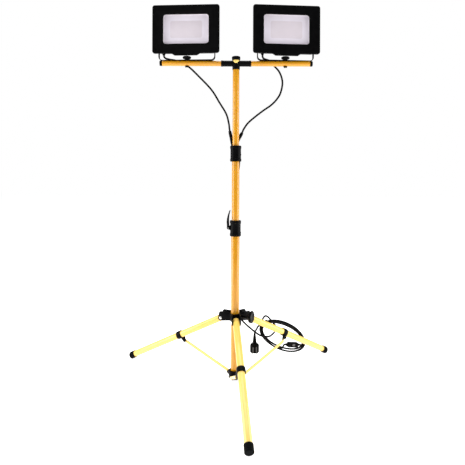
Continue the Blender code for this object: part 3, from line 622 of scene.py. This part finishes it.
def plug():
    """The moulded plug with its ribbed strain relief, two grip bars and two prongs."""
    place = STAND @ shift(*PLUG_PLACE, 0)
    sleeve = [(0, 135.5), (4.3, 135.5), (4.6, 134.5)]
    for k in range(STRAIN_RIBS):
        base = 130.5 - 4.4 * k
        wide = 5.0 + 0.52 * k
        sleeve += [
            (wide, base + 1.5), (wide - 0.8, base + 0.9), (wide - 0.8, base - 0.9), (wide + 0.1, base - 1.5),
        ]
    sleeve += [(9, 99), (9.4, 96), (0, 96)]
    spun("plug_strain_relief", sleeve, place, RUBBER, "hub", sides=SLEEVE_SIDES,
         bevel=0.15)
    shell = [(0, 98), (9.6, 98), (13, 96.6), (16.4, 94), (18, 90.6), (18.3, 88), (18.3, 66), (17.9, 63),
             (17, 61.6), (0, 61.6)]
    spun("plug_shell", shell, place, RUBBER, "hub", "plug", bevel=0.4)
    for name, way in (("a", -1), ("b", 1)):
        cut(f"plug_grip_bar_{name}", [rounded(2.0, 67, 87, 1.6)], 3, place @ shift(way * 6.5, -16.7, 0),
            GREY_AND_PAINTED_HIGHLIGHT, "hub", bevel=0.6)
        prong = [(0, 42), (1.5, 42), (2.4, 43.6), (2.4, 63), (0, 63)]
        spun(f"plug_prong_{name}", prong[::-1], place @ shift(way * PIN_OFFSET, 0, 0), STEEL,
             "hub", sides=SMALL_SIDES, bevel=0.1)


def inline_switch():
    """The inline switch: two shells, a see-saw rocker, and a tapered sleeve and lead at each end."""
    body, slot = "leg_right", "black_rubber"
    along, below = SWITCH_CENTRE
    place = LEGS["right"] @ shift(below, COIL_SIDE, along) @ turn_about("Y", -SWITCH_TURN)
    outline = rounded(10, -28, 28, 6)
    cut("switch_back_shell", [outline], 8.2, place @ shift(0, 2.9, 0), RUBBER, body, bevel=1.6,
        steps=4)
    opening = rounded(4.6, -8.3, 8.3, 0.8)
    cut("switch_front_shell", [outline, opening], 5.6, place @ shift(0, -4.2, 0), RUBBER, body,
        "switch_body", bevel=1.0)
    edge = [(-7.5, 4.2), (-4, 3.1), (0, 2.6), (4, 3.1), (7.5, 4.2), (7.5, 1.5), (0, -1.5), (-7.5, 1.5)]
    pivot = place @ shift(0, -5, 0) @ turn_about("X", -6) @ turn_about("Z", 90) @ turn_about("Y", -90)
    # The rocker cap is grey as a painted highlight on the black switch.
    cut("switch_rocker_cap", [edge], 8, pivot, GREY_AND_PAINTED_HIGHLIGHT, "switch_rocker", "switch_rocker", bevel=0.4)
    joins = {1: (12.0, 0.0), -1: (84.0, 98.0)}
    for way, (near, far) in joins.items():
        end = "ab"[way > 0]
        cone = [(0, 40), (3.9, 40), (4.4, 39), (6.2, 29), (6.2, 26), (0, 26)]
        spun(f"switch_sleeve_{end}", cone, place @ turn_about("X", 0 if way > 0 else 180), RUBBER,
             body, sides=SMALL_SIDES, bevel=0.2)
        points = [place @ (Vector((0, 0, way * z)) * MM) for z in (36, 46)]
        points += [LEGS["right"] @ (coil_line(a) * MM) for a in (near, far)]
        made = cord_mesh(f"switch_lead_{end}", smooth_path(points, LEAD_STEP * MM))
        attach(made, body)


def coil_tie():
    """The strap round the turns of the coil, beside the leg."""
    ahead = coil_line(TIE_AT + 1) - coil_line(TIE_AT - 1)
    band = [(9.8, 4.2), (10.1, 3.4), (10.1, -3.4), (9.8, -4.2), (8.7, -4.2), (8.7, 4.2)]
    turn = ahead.to_track_quat("Z", "X").to_matrix().to_4x4()
    place = LEGS["right"] @ Matrix.Translation(coil_line(TIE_AT) * MM) @ turn
    spun("coil_tie", band, place, BLACK, "leg_right", sides=SLEEVE_SIDES, bevel=0.2)


def splitter():
    """The moulded Y where the two leads join the main cord: three ribbed arms from one middle."""
    joint = Vector(SPLITTER_MIDDLE)
    for name, end in SPLITTER_ENDS.items():
        way = Vector(end) - joint
        long = way.length
        arm = [(0, long), (4.9, long), (5.6, long - 1), (6.3, long * 0.86), (6.3, long * 0.7),
               (5.8, long * 0.66), (6.2, long * 0.55), (6.3, 4), (6.0, -2), (0, -2)]
        turn = way.to_track_quat("Z", "Y").to_matrix().to_4x4()
        place = STAND @ Matrix.Translation(joint * MM) @ turn
        spun(f"lead_splitter_{name}", arm, place, RUBBER, "middle",
             "cord_splitter" if name == "low" else None, sides=SMALL_SIDES, bevel=0.3)


plug()
inline_switch()
coil_tie()
splitter()
lead("left", LEFT_LEAD)
lead("right", RIGHT_LEAD)
main_cord()


# Mast.

def mast():
    """The three tubes and the two clamp collars."""
    tubes = (
        ("lower", LOWER_TUBE, LOWER_WALL, "root"),
        ("middle", MIDDLE_TUBE, UPPER_WALL, "middle"),
        ("upper", UPPER_TUBE, UPPER_WALL, "head"),
    )
    for name, (radius, low, high), wall, body in tubes:
        pipe(name + "_mast_tube", radius, wall, low, high, STAND, YELLOW, body,
             name + "_tube")
    collar("lower", LOWER_TUBE[0], MIDDLE_TUBE[0], LOWER_COLLAR_BASE, LOWER_LEVER_TURN, False, "root")
    collar("upper", MIDDLE_TUBE[0], UPPER_TUBE[0], UPPER_COLLAR_BASE, UPPER_LEVER_TURN, True, "middle")


def collar(name, tube_radius, inner_radius, base, turn, flip, body):
    """A ribbed clamp collar with its lugs, hinge pin, cam lever and clamp screws."""
    top = base + COLLAR_HEIGHT
    rim = COLLAR_RADIUS
    waist = rim - 1.3
    profile = [
        (rim - 1.5, top), (rim, top - 2.5), (rim, top - 10), (waist, top - 11.5), (waist, base + 11.5),
        (rim, base + 10), (rim, base + 2.5), (rim - 1.5, base), (tube_radius + 0.3, base),
        (tube_radius + 0.3, top - 4.7), (inner_radius + 0.4, top - 4.7), (inner_radius + 0.4, top),
    ]
    spun(name + "_clamp_collar", profile, STAND, BLACK, body, name + "_collar", bevel=0.5)
    pin_height = top - LEVER_PIN_HEIGHT if flip else base + LEVER_PIN_HEIGHT
    place = STAND @ shift(0, 0, pin_height) @ turn_about("Z", turn)
    reach = [(18.5, -9), *arc((LEVER_PIN_OUT, 0), 5.5, -90, 90), (18.5, 9)]
    for side in (-1, 1):
        lug = place @ shift(0, side * (LEVER_WIDTH / 2 + 2.0), 0)
        cut(f"{name}_lug_{'ab'[side > 0]}", [reach], 3.4, lug, BLACK, body)
    across = place @ shift(LEVER_PIN_OUT, 0, 0) @ turn_about("X", 90)
    pin = [(0, 9.8), (1.6, 9.8), (2.0, 9.3), (2.0, -9.3), (1.6, -9.8), (0, -9.8)]
    spun(name + "_hinge_pin", pin, across, STEEL, body, name + "_lever_pin", sides=SMALL_SIDES,
         bevel=0.2)
    screw_head = [(0, 1.7), (2.4, 1.7), (3.0, 1.2), (3.0, -1.0), (0, -1.0)]
    for level in (-18, 18):
        screw = place @ shift(-19.5, 0, level) @ turn_about("Y", -90)
        spun(f"{name}_screw_{'ab'[level > 0]}", screw_head, screw, SATIN, body,
             sides=SCREW_SIDES, bevel=0.2)
    way = -1 if flip else 1
    outer = [(32.5, 8.0), (33.5, 22.0), (32.0, 36.0), (28.5, 50.0), (22.5, 66.0), (19.8, 67.5)]
    inner = [(19.0, 65.5), (22.5, 50.0), (24.0, 36.0), (24.0, 22.0), (23.2, 8.0)]
    edge = [(x, z * way) for x, z in outer + inner]
    eye = arc((LEVER_PIN_OUT, 0), 5.0, 200 * way, 340 * way, 14)
    cut(name + "_cam_lever", [eye + edge], LEVER_WIDTH, place, BLACK, name + "_lever",
        name + "_lever", bevel=1.1)


def head():
    """The crossbar in its fitting, with end caps, top cap, yellow band and the lamps' bolts."""
    bar = STAND @ shift(0, 0, BAR_HEIGHT) @ turn_about("Y", 90)
    pipe("lamp_crossbar", BAR_RADIUS, BAR_WALL, -BAR_HALF, BAR_HALF, bar, YELLOW, "head",
         "crossbar")
    sleeve = [(11.5, 57), (11.5, 50), (11.0, 49), (11.0, -49), (11.5, -50), (11.5, -57), (10.2, -57),
              (10.2, 57)]
    spun("crossbar_sleeve", sleeve, bar, BLACK, "head", "cross_fitting", bevel=0.3)
    socket = [(0, 1199), (13.2, 1199), (14.2, 1197.5), (14.2, 1179), (13.6, 1176), (12.7, 1176),
              (12.7, 1186), (0, 1186)]
    spun("mast_socket", socket, STAND, BLACK, "head", bevel=0.4)
    band = [(13.7, 1211.7), (12.2, 1200), (11.0, 1200), (11.0, 1211.7)]
    spun("mast_top_band", band, STAND, PALE_YELLOW_PAINTED_LIGHT, "head", bevel=0.3)
    cap = [(0, 1226), (13.8, 1226), (15.4, 1225.2), (16, 1223.6), (16, 1217), (14.2, 1211.9), (0, 1211.9)]
    spun("mast_top_cap", cap, STAND, BLACK, "head", "top_cap", bevel=0.5)
    for side, turn in (("left", -90), ("right", 90)):
        end = STAND @ shift(0, 0, BAR_HEIGHT) @ turn_about("Y", turn)
        cap, lip = BAR_CAP_HALF, BAR_HALF + SLIDING_GAP
        dome = [(0, cap), (8.2, cap), (9.6, cap - 0.6), (10, cap - 1.6), (10, lip), (8.5, lip),
                (8.5, lip - 12), (0, lip - 12)]
        spun(f"bar_end_cap_{side}", dome, end, BLACK, "head", f"crossbar_cap_{side}",
             bevel=0.3)
        x = LAMP_PLACES[side][0]
        bolt = STAND @ shift(x, 0, BAR_HEIGHT)
        rod(f"pan_bolt_{side}", 3.0, -15.5, 21, bolt, STEEL, "head", f"yoke_bolt_{side}")
        rod(f"pan_nut_{side}", 6.0, -15.3, -10.4, bolt, SATIN, "head", sides=HEXAGON,
            bevel=0.4)
        rod(f"pan_washer_{side}", 7.4, -11.6, -10.2, bolt, SATIN, "head")


def lamp(side):
    """One lamp with the hand knob and the yoke that carry it."""
    knob = [(0, 26), (12.5, 26), (15.2, 25), (16, 23.4), (16, 20), (14, 17.8), (8, 17), (7.5, 13.2),
            (3.3, 13.2), (3.3, 21.5), (0, 21.5)]
    seat = STAND @ shift(LAMP_PLACES[side][0], 0, BAR_HEIGHT)
    spun(f"pan_hand_knob_{side}", knob, seat, BLACK, f"hand_knob_{side}",
         f"hand_knob_{side}", bevel=0.3, lobes=8, depth=1.1)
    yoke(side)
    bezel(side)
    window(side)
    housing(side)
    tilt_bolts(side)


def from_axis(height):
    """A height above the crossbar, measured from the tilt axis instead."""
    return height - TILT_HEIGHT


def bezel(side):
    """The front frame with the tab under its window, the window's seal and the frame's screws."""
    body, place = "lamp_" + side, LAMPS[side]
    low, high = from_axis(LAMP_LOW), from_axis(LAMP_HIGH)
    window_low, window_high = from_axis(WINDOW_LOW), from_axis(WINDOW_HIGH)
    outline = rounded(LAMP_HALF, low, high, LAMP_CORNER)
    corner = outline.index(min(outline, key=lambda p: (p[1], p[0])))
    tab = [(-TAB_WIDE, low), (-TAB_NARROW, low - TAB_DROP), (TAB_NARROW, low - TAB_DROP), (TAB_WIDE, low)]
    outline = outline[:corner + 1] + tab + outline[corner + 1:]
    opening = rounded(WINDOW_HALF, window_low, window_high, WINDOW_CORNER)
    middle = (FRAME_FRONT + FRAME_BACK) / 2
    cut(f"bezel_{side}", [outline, opening], FRAME_BACK - FRAME_FRONT, place @ shift(0, middle, 0), BLACK,
        body, f"front_frame_{side}", bevel=1.4, steps=4)
    rim_outer = rounded(WINDOW_HALF + 0.4, window_low - 0.4, window_high + 0.4, WINDOW_CORNER + 0.4)
    rim_inner = rounded(WINDOW_HALF - 2.2, window_low + 2.2, window_high - 2.2, WINDOW_CORNER - 2.0)
    cut(f"window_seal_{side}", [rim_outer, rim_inner], 2.2, place @ shift(0, FRAME_BACK - 1.0, 0), REFLECTOR,
        body, bevel=0.5)
    screw_head = [(0, -0.2), (1.0, -0.2), (1.3, 0.35), (2.4, 0.35), (2.7, 0.0), (2.7, -1.2), (0, -1.2)]
    for x in (-LAMP_HALF + SCREW_INSET, 0, LAMP_HALF - SCREW_INSET):
        for z in (low + SCREW_INSET, high - SCREW_INSET):
            if x == 0 and z < 0:
                continue
            screw = place @ shift(x, FRAME_FRONT, z) @ turn_about("X", 90)
            spun(f"bezel_screw_{side}_{'lmr'[(x > 0) + (x >= 0)]}{'ud'[z < 0]}", screw_head, screw, SATIN,
                 body, sides=SCREW_SIDES, bevel=0)


def window(side):
    """The frosted pane with a darker sheet on its centre, a painted shade for the cavity behind, and the
    reflector, the board and its array of diodes behind.
    """
    body, place = "lamp_" + side, LAMPS[side]
    front = FRAME_BACK + SLIDING_GAP
    inset = HOUSING_WALL + SLIDING_GAP
    low, high = from_axis(HOUSING_LOW) + inset, from_axis(HOUSING_HIGH) - inset
    pane = rounded(HOUSING_HALF - inset, low, high, 4)
    cut(f"pane_{side}", [pane], PANE_THICK, place @ shift(0, front + PANE_THICK / 2, 0), GLASS,
        body, f"glass_{side}", bevel=0.4)
    window_low, window_high = from_axis(WINDOW_LOW), from_axis(WINDOW_HIGH)
    middle_height = (window_low + window_high) / 2
    half, rise = PAINTED_SHADE_HALF
    centre = rounded(half, middle_height - rise, middle_height + rise, 7)
    # A thin darker sheet on the pane's centre: painted shade for the cavity behind.
    cut(f"pane_centre_{side}", [centre], 0.5, place @ shift(0, front + 0.05, 0), GLASS_PAINTED_SHADE,
        body, bevel=0.2)
    for node, material in ((f"reflector_{side}", REFLECTOR), (f"led_board_{side}", MASK)):
        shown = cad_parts[node]
        shown.data.materials.clear()
        shown.data.materials.append(material)
    board_front = front + PANE_THICK + REFLECTOR_DEEP + BOARD_THICK
    array = rounded(ARRAY_HALF, window_low + ARRAY_INSET, window_high - ARRAY_INSET, 3)
    cut(f"led_array_{side}", [array], 1.2, place @ shift(0, board_front - 0.7, 0), PHOSPHOR,
        body, bevel=0.4)


def housing(side):
    """The cast housing with its cooling fins and the gland that the lead leaves by."""
    body, place = "lamp_" + side, LAMPS[side]
    front = FRAME_BACK + SLIDING_GAP
    low, high = from_axis(HOUSING_LOW), from_axis(HOUSING_HIGH)
    wall = HOUSING_WALL
    shell = rounded(HOUSING_HALF, low, high, 6)
    hole = rounded(HOUSING_HALF - wall, low + wall, high - wall, 4)
    cut(f"housing_wall_{side}", [shell, hole], HOUSING_BACK - front,
        place @ shift(0, (HOUSING_BACK + front) / 2, 0), SATIN, body, f"housing_{side}",
        bevel=0.8)
    cut(f"housing_back_{side}", [rounded(HOUSING_HALF - 0.6, low + 0.6, high - 0.6, 6)], wall,
        place @ shift(0, HOUSING_BACK - wall / 2 + 0.4, 0), SATIN, body, bevel=0.9)
    root, ridge = HOUSING_BACK, HOUSING_BACK + FIN_DEPTH
    fin = [(root - 1, low + 8), (root + 8, low + 8), (ridge, low + 18), (ridge, high - 18),
           (root + 8, high - 8), (root - 1, high - 8)]
    for i in range(FIN_COUNT):
        x = (i - (FIN_COUNT - 1) / 2) * FIN_SPAN / (FIN_COUNT - 1)
        cut(f"fin_{side}_{i}", [fin], FIN_THICK, place @ shift(x, 0, 0) @ turn_about("Z", 90), SATIN,
            body, bevel=0.4, steps=2)
    gland = [(0, -0.3), (7, -0.3), (7, -3.6), (5.4, -5.2), (5.0, -6.4), (5.3, -7.0), (4.7, -7.8),
             (4.9, -8.4), (4.4, -9.5), (0, -9.5)]
    spun(f"lead_gland_{side}", gland, place @ shift(*GLAND_PLACE, low), RUBBER, body,
         f"cord_gland_{side}", sides=SMALL_SIDES, bevel=0.2)


def tilt_bolts(side):
    """The bolts that the lamp tilts on: a hexagon head, a washer and a shank at each arm of the yoke."""
    body = "lamp_" + side
    hexagon_head = [(0, 112.6), (4.6, 112.6), (5.6, 112.0), (5.6, 109.6), (0, 109.6)]
    for end, turn in (("a", -90), ("b", 90)):
        place = LAMPS[side] @ turn_about("Y", turn)
        spun(f"tilt_screw_head_{side}_{end}", hexagon_head, place, STEEL, body,
             sides=HEXAGON, bevel=0.4)
        rod(f"tilt_washer_{side}_{end}", 7.6, YOKE_HALF + 0.1, YOKE_HALF + 1.7, place, STEEL,
            body)
        rod(f"tilt_shank_{side}_{end}", 3.0, HOUSING_HALF, YOKE_HALF + 2, place, STEEL, body,
            f"tilt_bolt_{side}_{end}")


def yoke(side):
    """The strip bent to a U, with rounded bends."""
    top = TILT_HEIGHT + YOKE_ABOVE_AXIS
    bend = YOKE_BEND
    outer, inner = YOKE_HALF, YOKE_HALF - YOKE_THICK
    low = YOKE_BASE
    outline = [(outer, top), (inner, top)]
    outline += arc((outer - bend, low + bend), bend - YOKE_THICK, 0, -90, 10)
    outline += arc((bend - outer, low + bend), bend - YOKE_THICK, -90, -180, 10)
    outline += [(-inner, top), (-outer, top)]
    outline += arc((bend - outer, low + bend), bend, 180, 270, 10)
    outline += arc((outer - bend, low + bend), bend, -90, 0, 10)
    cut(f"u_bracket_{side}", [outline], YOKE_WIDE, YOKES[side], SATIN, f"yoke_{side}",
        f"yoke_{side}", bevel=0.5)


# Tripod.

def tripod():
    """The cup at the mast's foot, the sliding hub with its knob, and the legs with their braces."""
    cup = [(0, 11), (HUB_BORE, 11), (HUB_BORE, 38), (22.2, 38), (23.6, 37.2), (24, 36), (24, 24), (23.2, 23),
           (23.2, 14), (24, 13), (24, 10), (23.4, 8.6), (22, 8), (0, 8)]
    spun("base_cup", cup, STAND, BLACK, "root", "base_hub", bevel=0.4)
    ring = [(21, HUB_HIGH), (22, HUB_HIGH - 1), (22, HUB_LOW + 1), (21, HUB_LOW), (HUB_BORE, HUB_LOW),
            (HUB_BORE, HUB_HIGH)]
    spun("hub_ring", ring, STAND, BLACK, "hub", "sliding_hub", bevel=0.5)
    knob_place = STAND @ shift(0, 0, HUB_KNOB_HEIGHT) @ turn_about("Z", HUB_KNOB_TURN) @ turn_about("Y", 90)
    rod("hub_knob_boss", 7.0, 18, 33, knob_place, BLACK, "hub")
    knob = [(0, 71), (14, 71), (18, 72), (21.6, 71.6), (23.3, 69.6), (23.3, 64), (21.5, 62.4), (14, 57),
            (9.5, 50), (8, 44), (8, 33.3), (0, 33.3)]
    spun("hub_star_knob", knob, knob_place, BLACK, "hub_knob", "hub_clamp_knob", bevel=0.3,
         lobes=7, depth=2.4)
    for side in TRIPOD_TURNS:
        leg(side)
        brace(side)


def leg(side):
    """A leg's tube, foot, brace clamp, the hub's two cheeks and the pin through them."""
    plane, place, body = PLANES[side], LEGS[side], "leg_" + side
    pipe(f"leg_{side}_pipe", LEG_RADIUS, LEG_WALL, -12, LEG_END - 7.5, place, LEG_YELLOW_PAINTED_LIGHT,
         body, f"leg_tube_{side}")
    foot_cap(side, place, body)
    low, high = BRACE_ALONG - CLAMP_HALF, BRACE_ALONG + CLAMP_HALF
    ring = [(15.5, high - 0.6), (15.0, high), (12.8, high), (12.8, low), (15.0, low), (15.5, low + 0.6)]
    spun(f"leg_{side}_clamp_ring", ring, place, BLACK, body, f"brace_clamp_{side}",
         bevel=0.4)
    edge = [(12.5, high), (12.5, low), *arc((BRACE_BELOW, BRACE_ALONG), CLAMP_EAR, -90, 90)]
    ear = place @ shift(0, -(BRACE_SIDE - 3.3), 0)
    cut(f"leg_{side}_clamp_ear", [edge], 6, ear, BLACK, body)
    x, z = LEG_PIVOT
    cheek = [(13, 252), (13, 227), *arc((x, z), 10.5, -90, 20, 12), (60, 252), (55, 257.5), (24, 257.5)]
    for way in (-1, 1):
        cut(f"hub_cheek_{side}_{'ab'[way > 0]}", [cheek], CHEEK_OUT - CHEEK_IN,
            plane @ shift(0, way * (CHEEK_IN + CHEEK_OUT) / 2, 0), BLACK, "hub", bevel=0.7)
    rivet(f"leg_pin_{side}", plane @ shift(x, 0, z) @ turn_about("X", 90), LEG_PIN_OUT, "hub", both=True)


def foot_cap(side, place, body):
    """The rubber cap, with grip rings and worn flat where it meets the floor."""
    end = LEG_END
    profile = [(0, end), (12.2, end), (13.9, end - 1.0), (14.5, end - 2.8)]
    for k in range(3):
        base = end - 7 - 4.5 * k
        profile += [(14.5, base + 1.2), (13.8, base + 0.6), (13.8, base - 0.6), (14.5, base - 1.2)]
    profile += [(14.5, end - 24), (14.0, end - 25), (12.8, end - 25), (12.8, end - 7), (0, end - 7)]
    made = spun(f"leg_{side}_foot_cap", profile, place, RUBBER, body, f"foot_{side}",
                bevel=0.2)
    cut_at_floor(made)


def cut_at_floor(made):
    """Takes off what lies below the floor and closes the cut with a flat."""
    bpy.context.view_layer.update()
    world = made.matrix_world
    shape = bmesh.new()
    shape.from_mesh(made.data)
    shape.transform(world)
    bmesh.ops.bisect_plane(shape, geom=shape.verts[:] + shape.edges[:] + shape.faces[:], dist=CLOSE_WELD,
                           plane_co=(0, 0, 0), plane_no=(0, 0, -1), clear_outer=True)
    bmesh.ops.holes_fill(shape, edges=[e for e in shape.edges if e.is_boundary])
    shape.transform(world.inverted())
    shape.to_mesh(made.data)
    shape.free()
    made.data.update()


def rivet(name, place, reach, body, both=False):
    """A domed rivet head of zinc-plated steel, at one end of its pin or at both."""
    for sign in (1, -1) if both else (1,):
        start = reach - 2.6
        dome = [(0, reach), (2.6, reach - 0.3), (4.6, reach - 1.1), (5.5, reach - 2.2), (5.5, start),
                (0, start)]
        turn = turn_about("X", 0 if sign > 0 else 180)
        spun(name + ("_a" if sign > 0 else "_b"), dome, place @ turn, STEEL, body,
             sides=SMALL_SIDES, bevel=0)


def brace(side):
    """The flat strip from the base to a leg's clamp, its rivets and the base's ear for it."""
    slope = math.radians(LEG_SLOPE)
    pin = (
        LEG_PIVOT[0] + BRACE_ALONG * math.cos(slope) - BRACE_BELOW * math.sin(slope),
        LEG_PIVOT[1] - BRACE_ALONG * math.sin(slope) - BRACE_BELOW * math.cos(slope),
    )
    reach = (pin[0] - BRACE_PIVOT[0], pin[1] - BRACE_PIVOT[1])
    length = math.hypot(*reach)
    rise = math.degrees(math.atan2(reach[1], reach[0]))
    plane = PLANES[side]
    place = plane @ shift(BRACE_PIVOT[0], 0, BRACE_PIVOT[1]) @ turn_about("Y", -rise)
    half = BRACE_WIDE / 2
    outline = arc((0, 0), half, 90, 270, 12) + arc((length, 0), half, -90, 90, 12)
    strip = place @ shift(0, -(BRACE_SIDE + BRACE_THICK / 2), 0)
    cut(f"leg_{side}_brace_strip", [outline], BRACE_THICK, strip, PALE_YELLOW_PAINTED_LIGHT,
        f"brace_{side}", f"brace_{side}", bevel=0.8)
    rivet(f"brace_{side}_outer_rivet", place @ shift(length, 0, 0) @ turn_about("X", 90), BRACE_RIVET_OUT,
          f"brace_{side}")
    rivet(f"brace_{side}_base_pin", plane @ shift(BRACE_PIVOT[0], 0, BRACE_PIVOT[1]) @ turn_about("X", 90),
          BASE_PIN_OUT, "root")
    x, z = BRACE_PIVOT
    ear = [(17.5, z + 8.5), (17.5, z - 8.5), *arc((x, z), 8.0, -90, 90)]
    cut(f"base_ear_{side}", [ear], 6, plane @ shift(0, -(BRACE_SIDE - 3.3), 0), BLACK,
        "root")


mast()
head()
for lamp_side in LAMP_PLACES:
    lamp(lamp_side)
tripod()


# Floor and light.

FLOOR_GLOW = 0.80
FILL_LIGHT = 0.24
FLOOR_SIZE = 40.0
FLOOR_DROP = 0.5

# Each light: its place, the point that it faces and its size, in metres, and its power in watts.
LIGHTS = {
    "side_left": ((-1.9, -0.15, 0.9), (0, 0.05, 0.7), (1.3, 2.2), 44),
    "side_right": ((1.9, -0.1, 0.9), (0, 0.05, 0.7), (1.3, 2.2), 40),
    "top": ((0.0, 0.2, 3.2), (0, 0, 0), (2.6, 2.6), 80),
    "front": ((-0.6, -3.2, 2.2), (0, 0, 0.7), (1.0, 1.0), 6),
}


def area(name, place, aim, size, power):
    data = bpy.data.lights.new(name, "AREA")
    data.shape = "RECTANGLE"
    data.size, data.size_y = size
    data.energy = power
    made = bpy.data.objects.new(name, data)
    bpy.context.collection.objects.link(made)
    made.location = place
    made.rotation_euler = (Vector(aim) - Vector(place)).to_track_quat("-Z", "Y").to_euler()


def studio():
    """A pale floor, a world that is brighter to the camera than as a light, and the lights."""
    bpy.ops.mesh.primitive_plane_add(size=FLOOR_SIZE, location=(0, 0, -FLOOR_DROP * MM))
    floor = bpy.context.object
    floor.name = "floor"
    paper = surface("pale_floor", (0.86, 0.86, 0.86), (0.88, 0.88, 0.88), 0.8, grain=60, depth=0.0)
    shader = paper.node_tree.nodes["Principled BSDF"]
    shader.inputs["Emission Color"].default_value = (1, 1, 1, 1)
    shader.inputs["Emission Strength"].default_value = FLOOR_GLOW
    shader.inputs["Specular IOR Level"].default_value = 0.0
    floor.data.materials.append(paper)
    world = bpy.data.worlds.new("studio")
    world.use_nodes = True
    tree = world.node_tree
    seen = tree.nodes["Background"]
    seen.inputs["Color"].default_value = (1, 1, 1, 1)
    seen.inputs["Strength"].default_value = 1.0
    fill = add(tree, "Background", Color=(1, 1, 1, 1), Strength=FILL_LIGHT)
    kind = add(tree, "LightPath")
    mix = add(tree, "MixShader")
    tree.links.new(kind.outputs["Is Camera Ray"], mix.inputs[0])
    tree.links.new(fill.outputs[0], mix.inputs[1])
    tree.links.new(seen.outputs[0], mix.inputs[2])
    tree.links.new(mix.outputs[0], tree.nodes["World Output"].inputs["Surface"])
    bpy.context.scene.world = world
    bpy.context.scene.view_settings.view_transform = "Standard"
    for name, light in LIGHTS.items():
        area(name, *light)


studio()
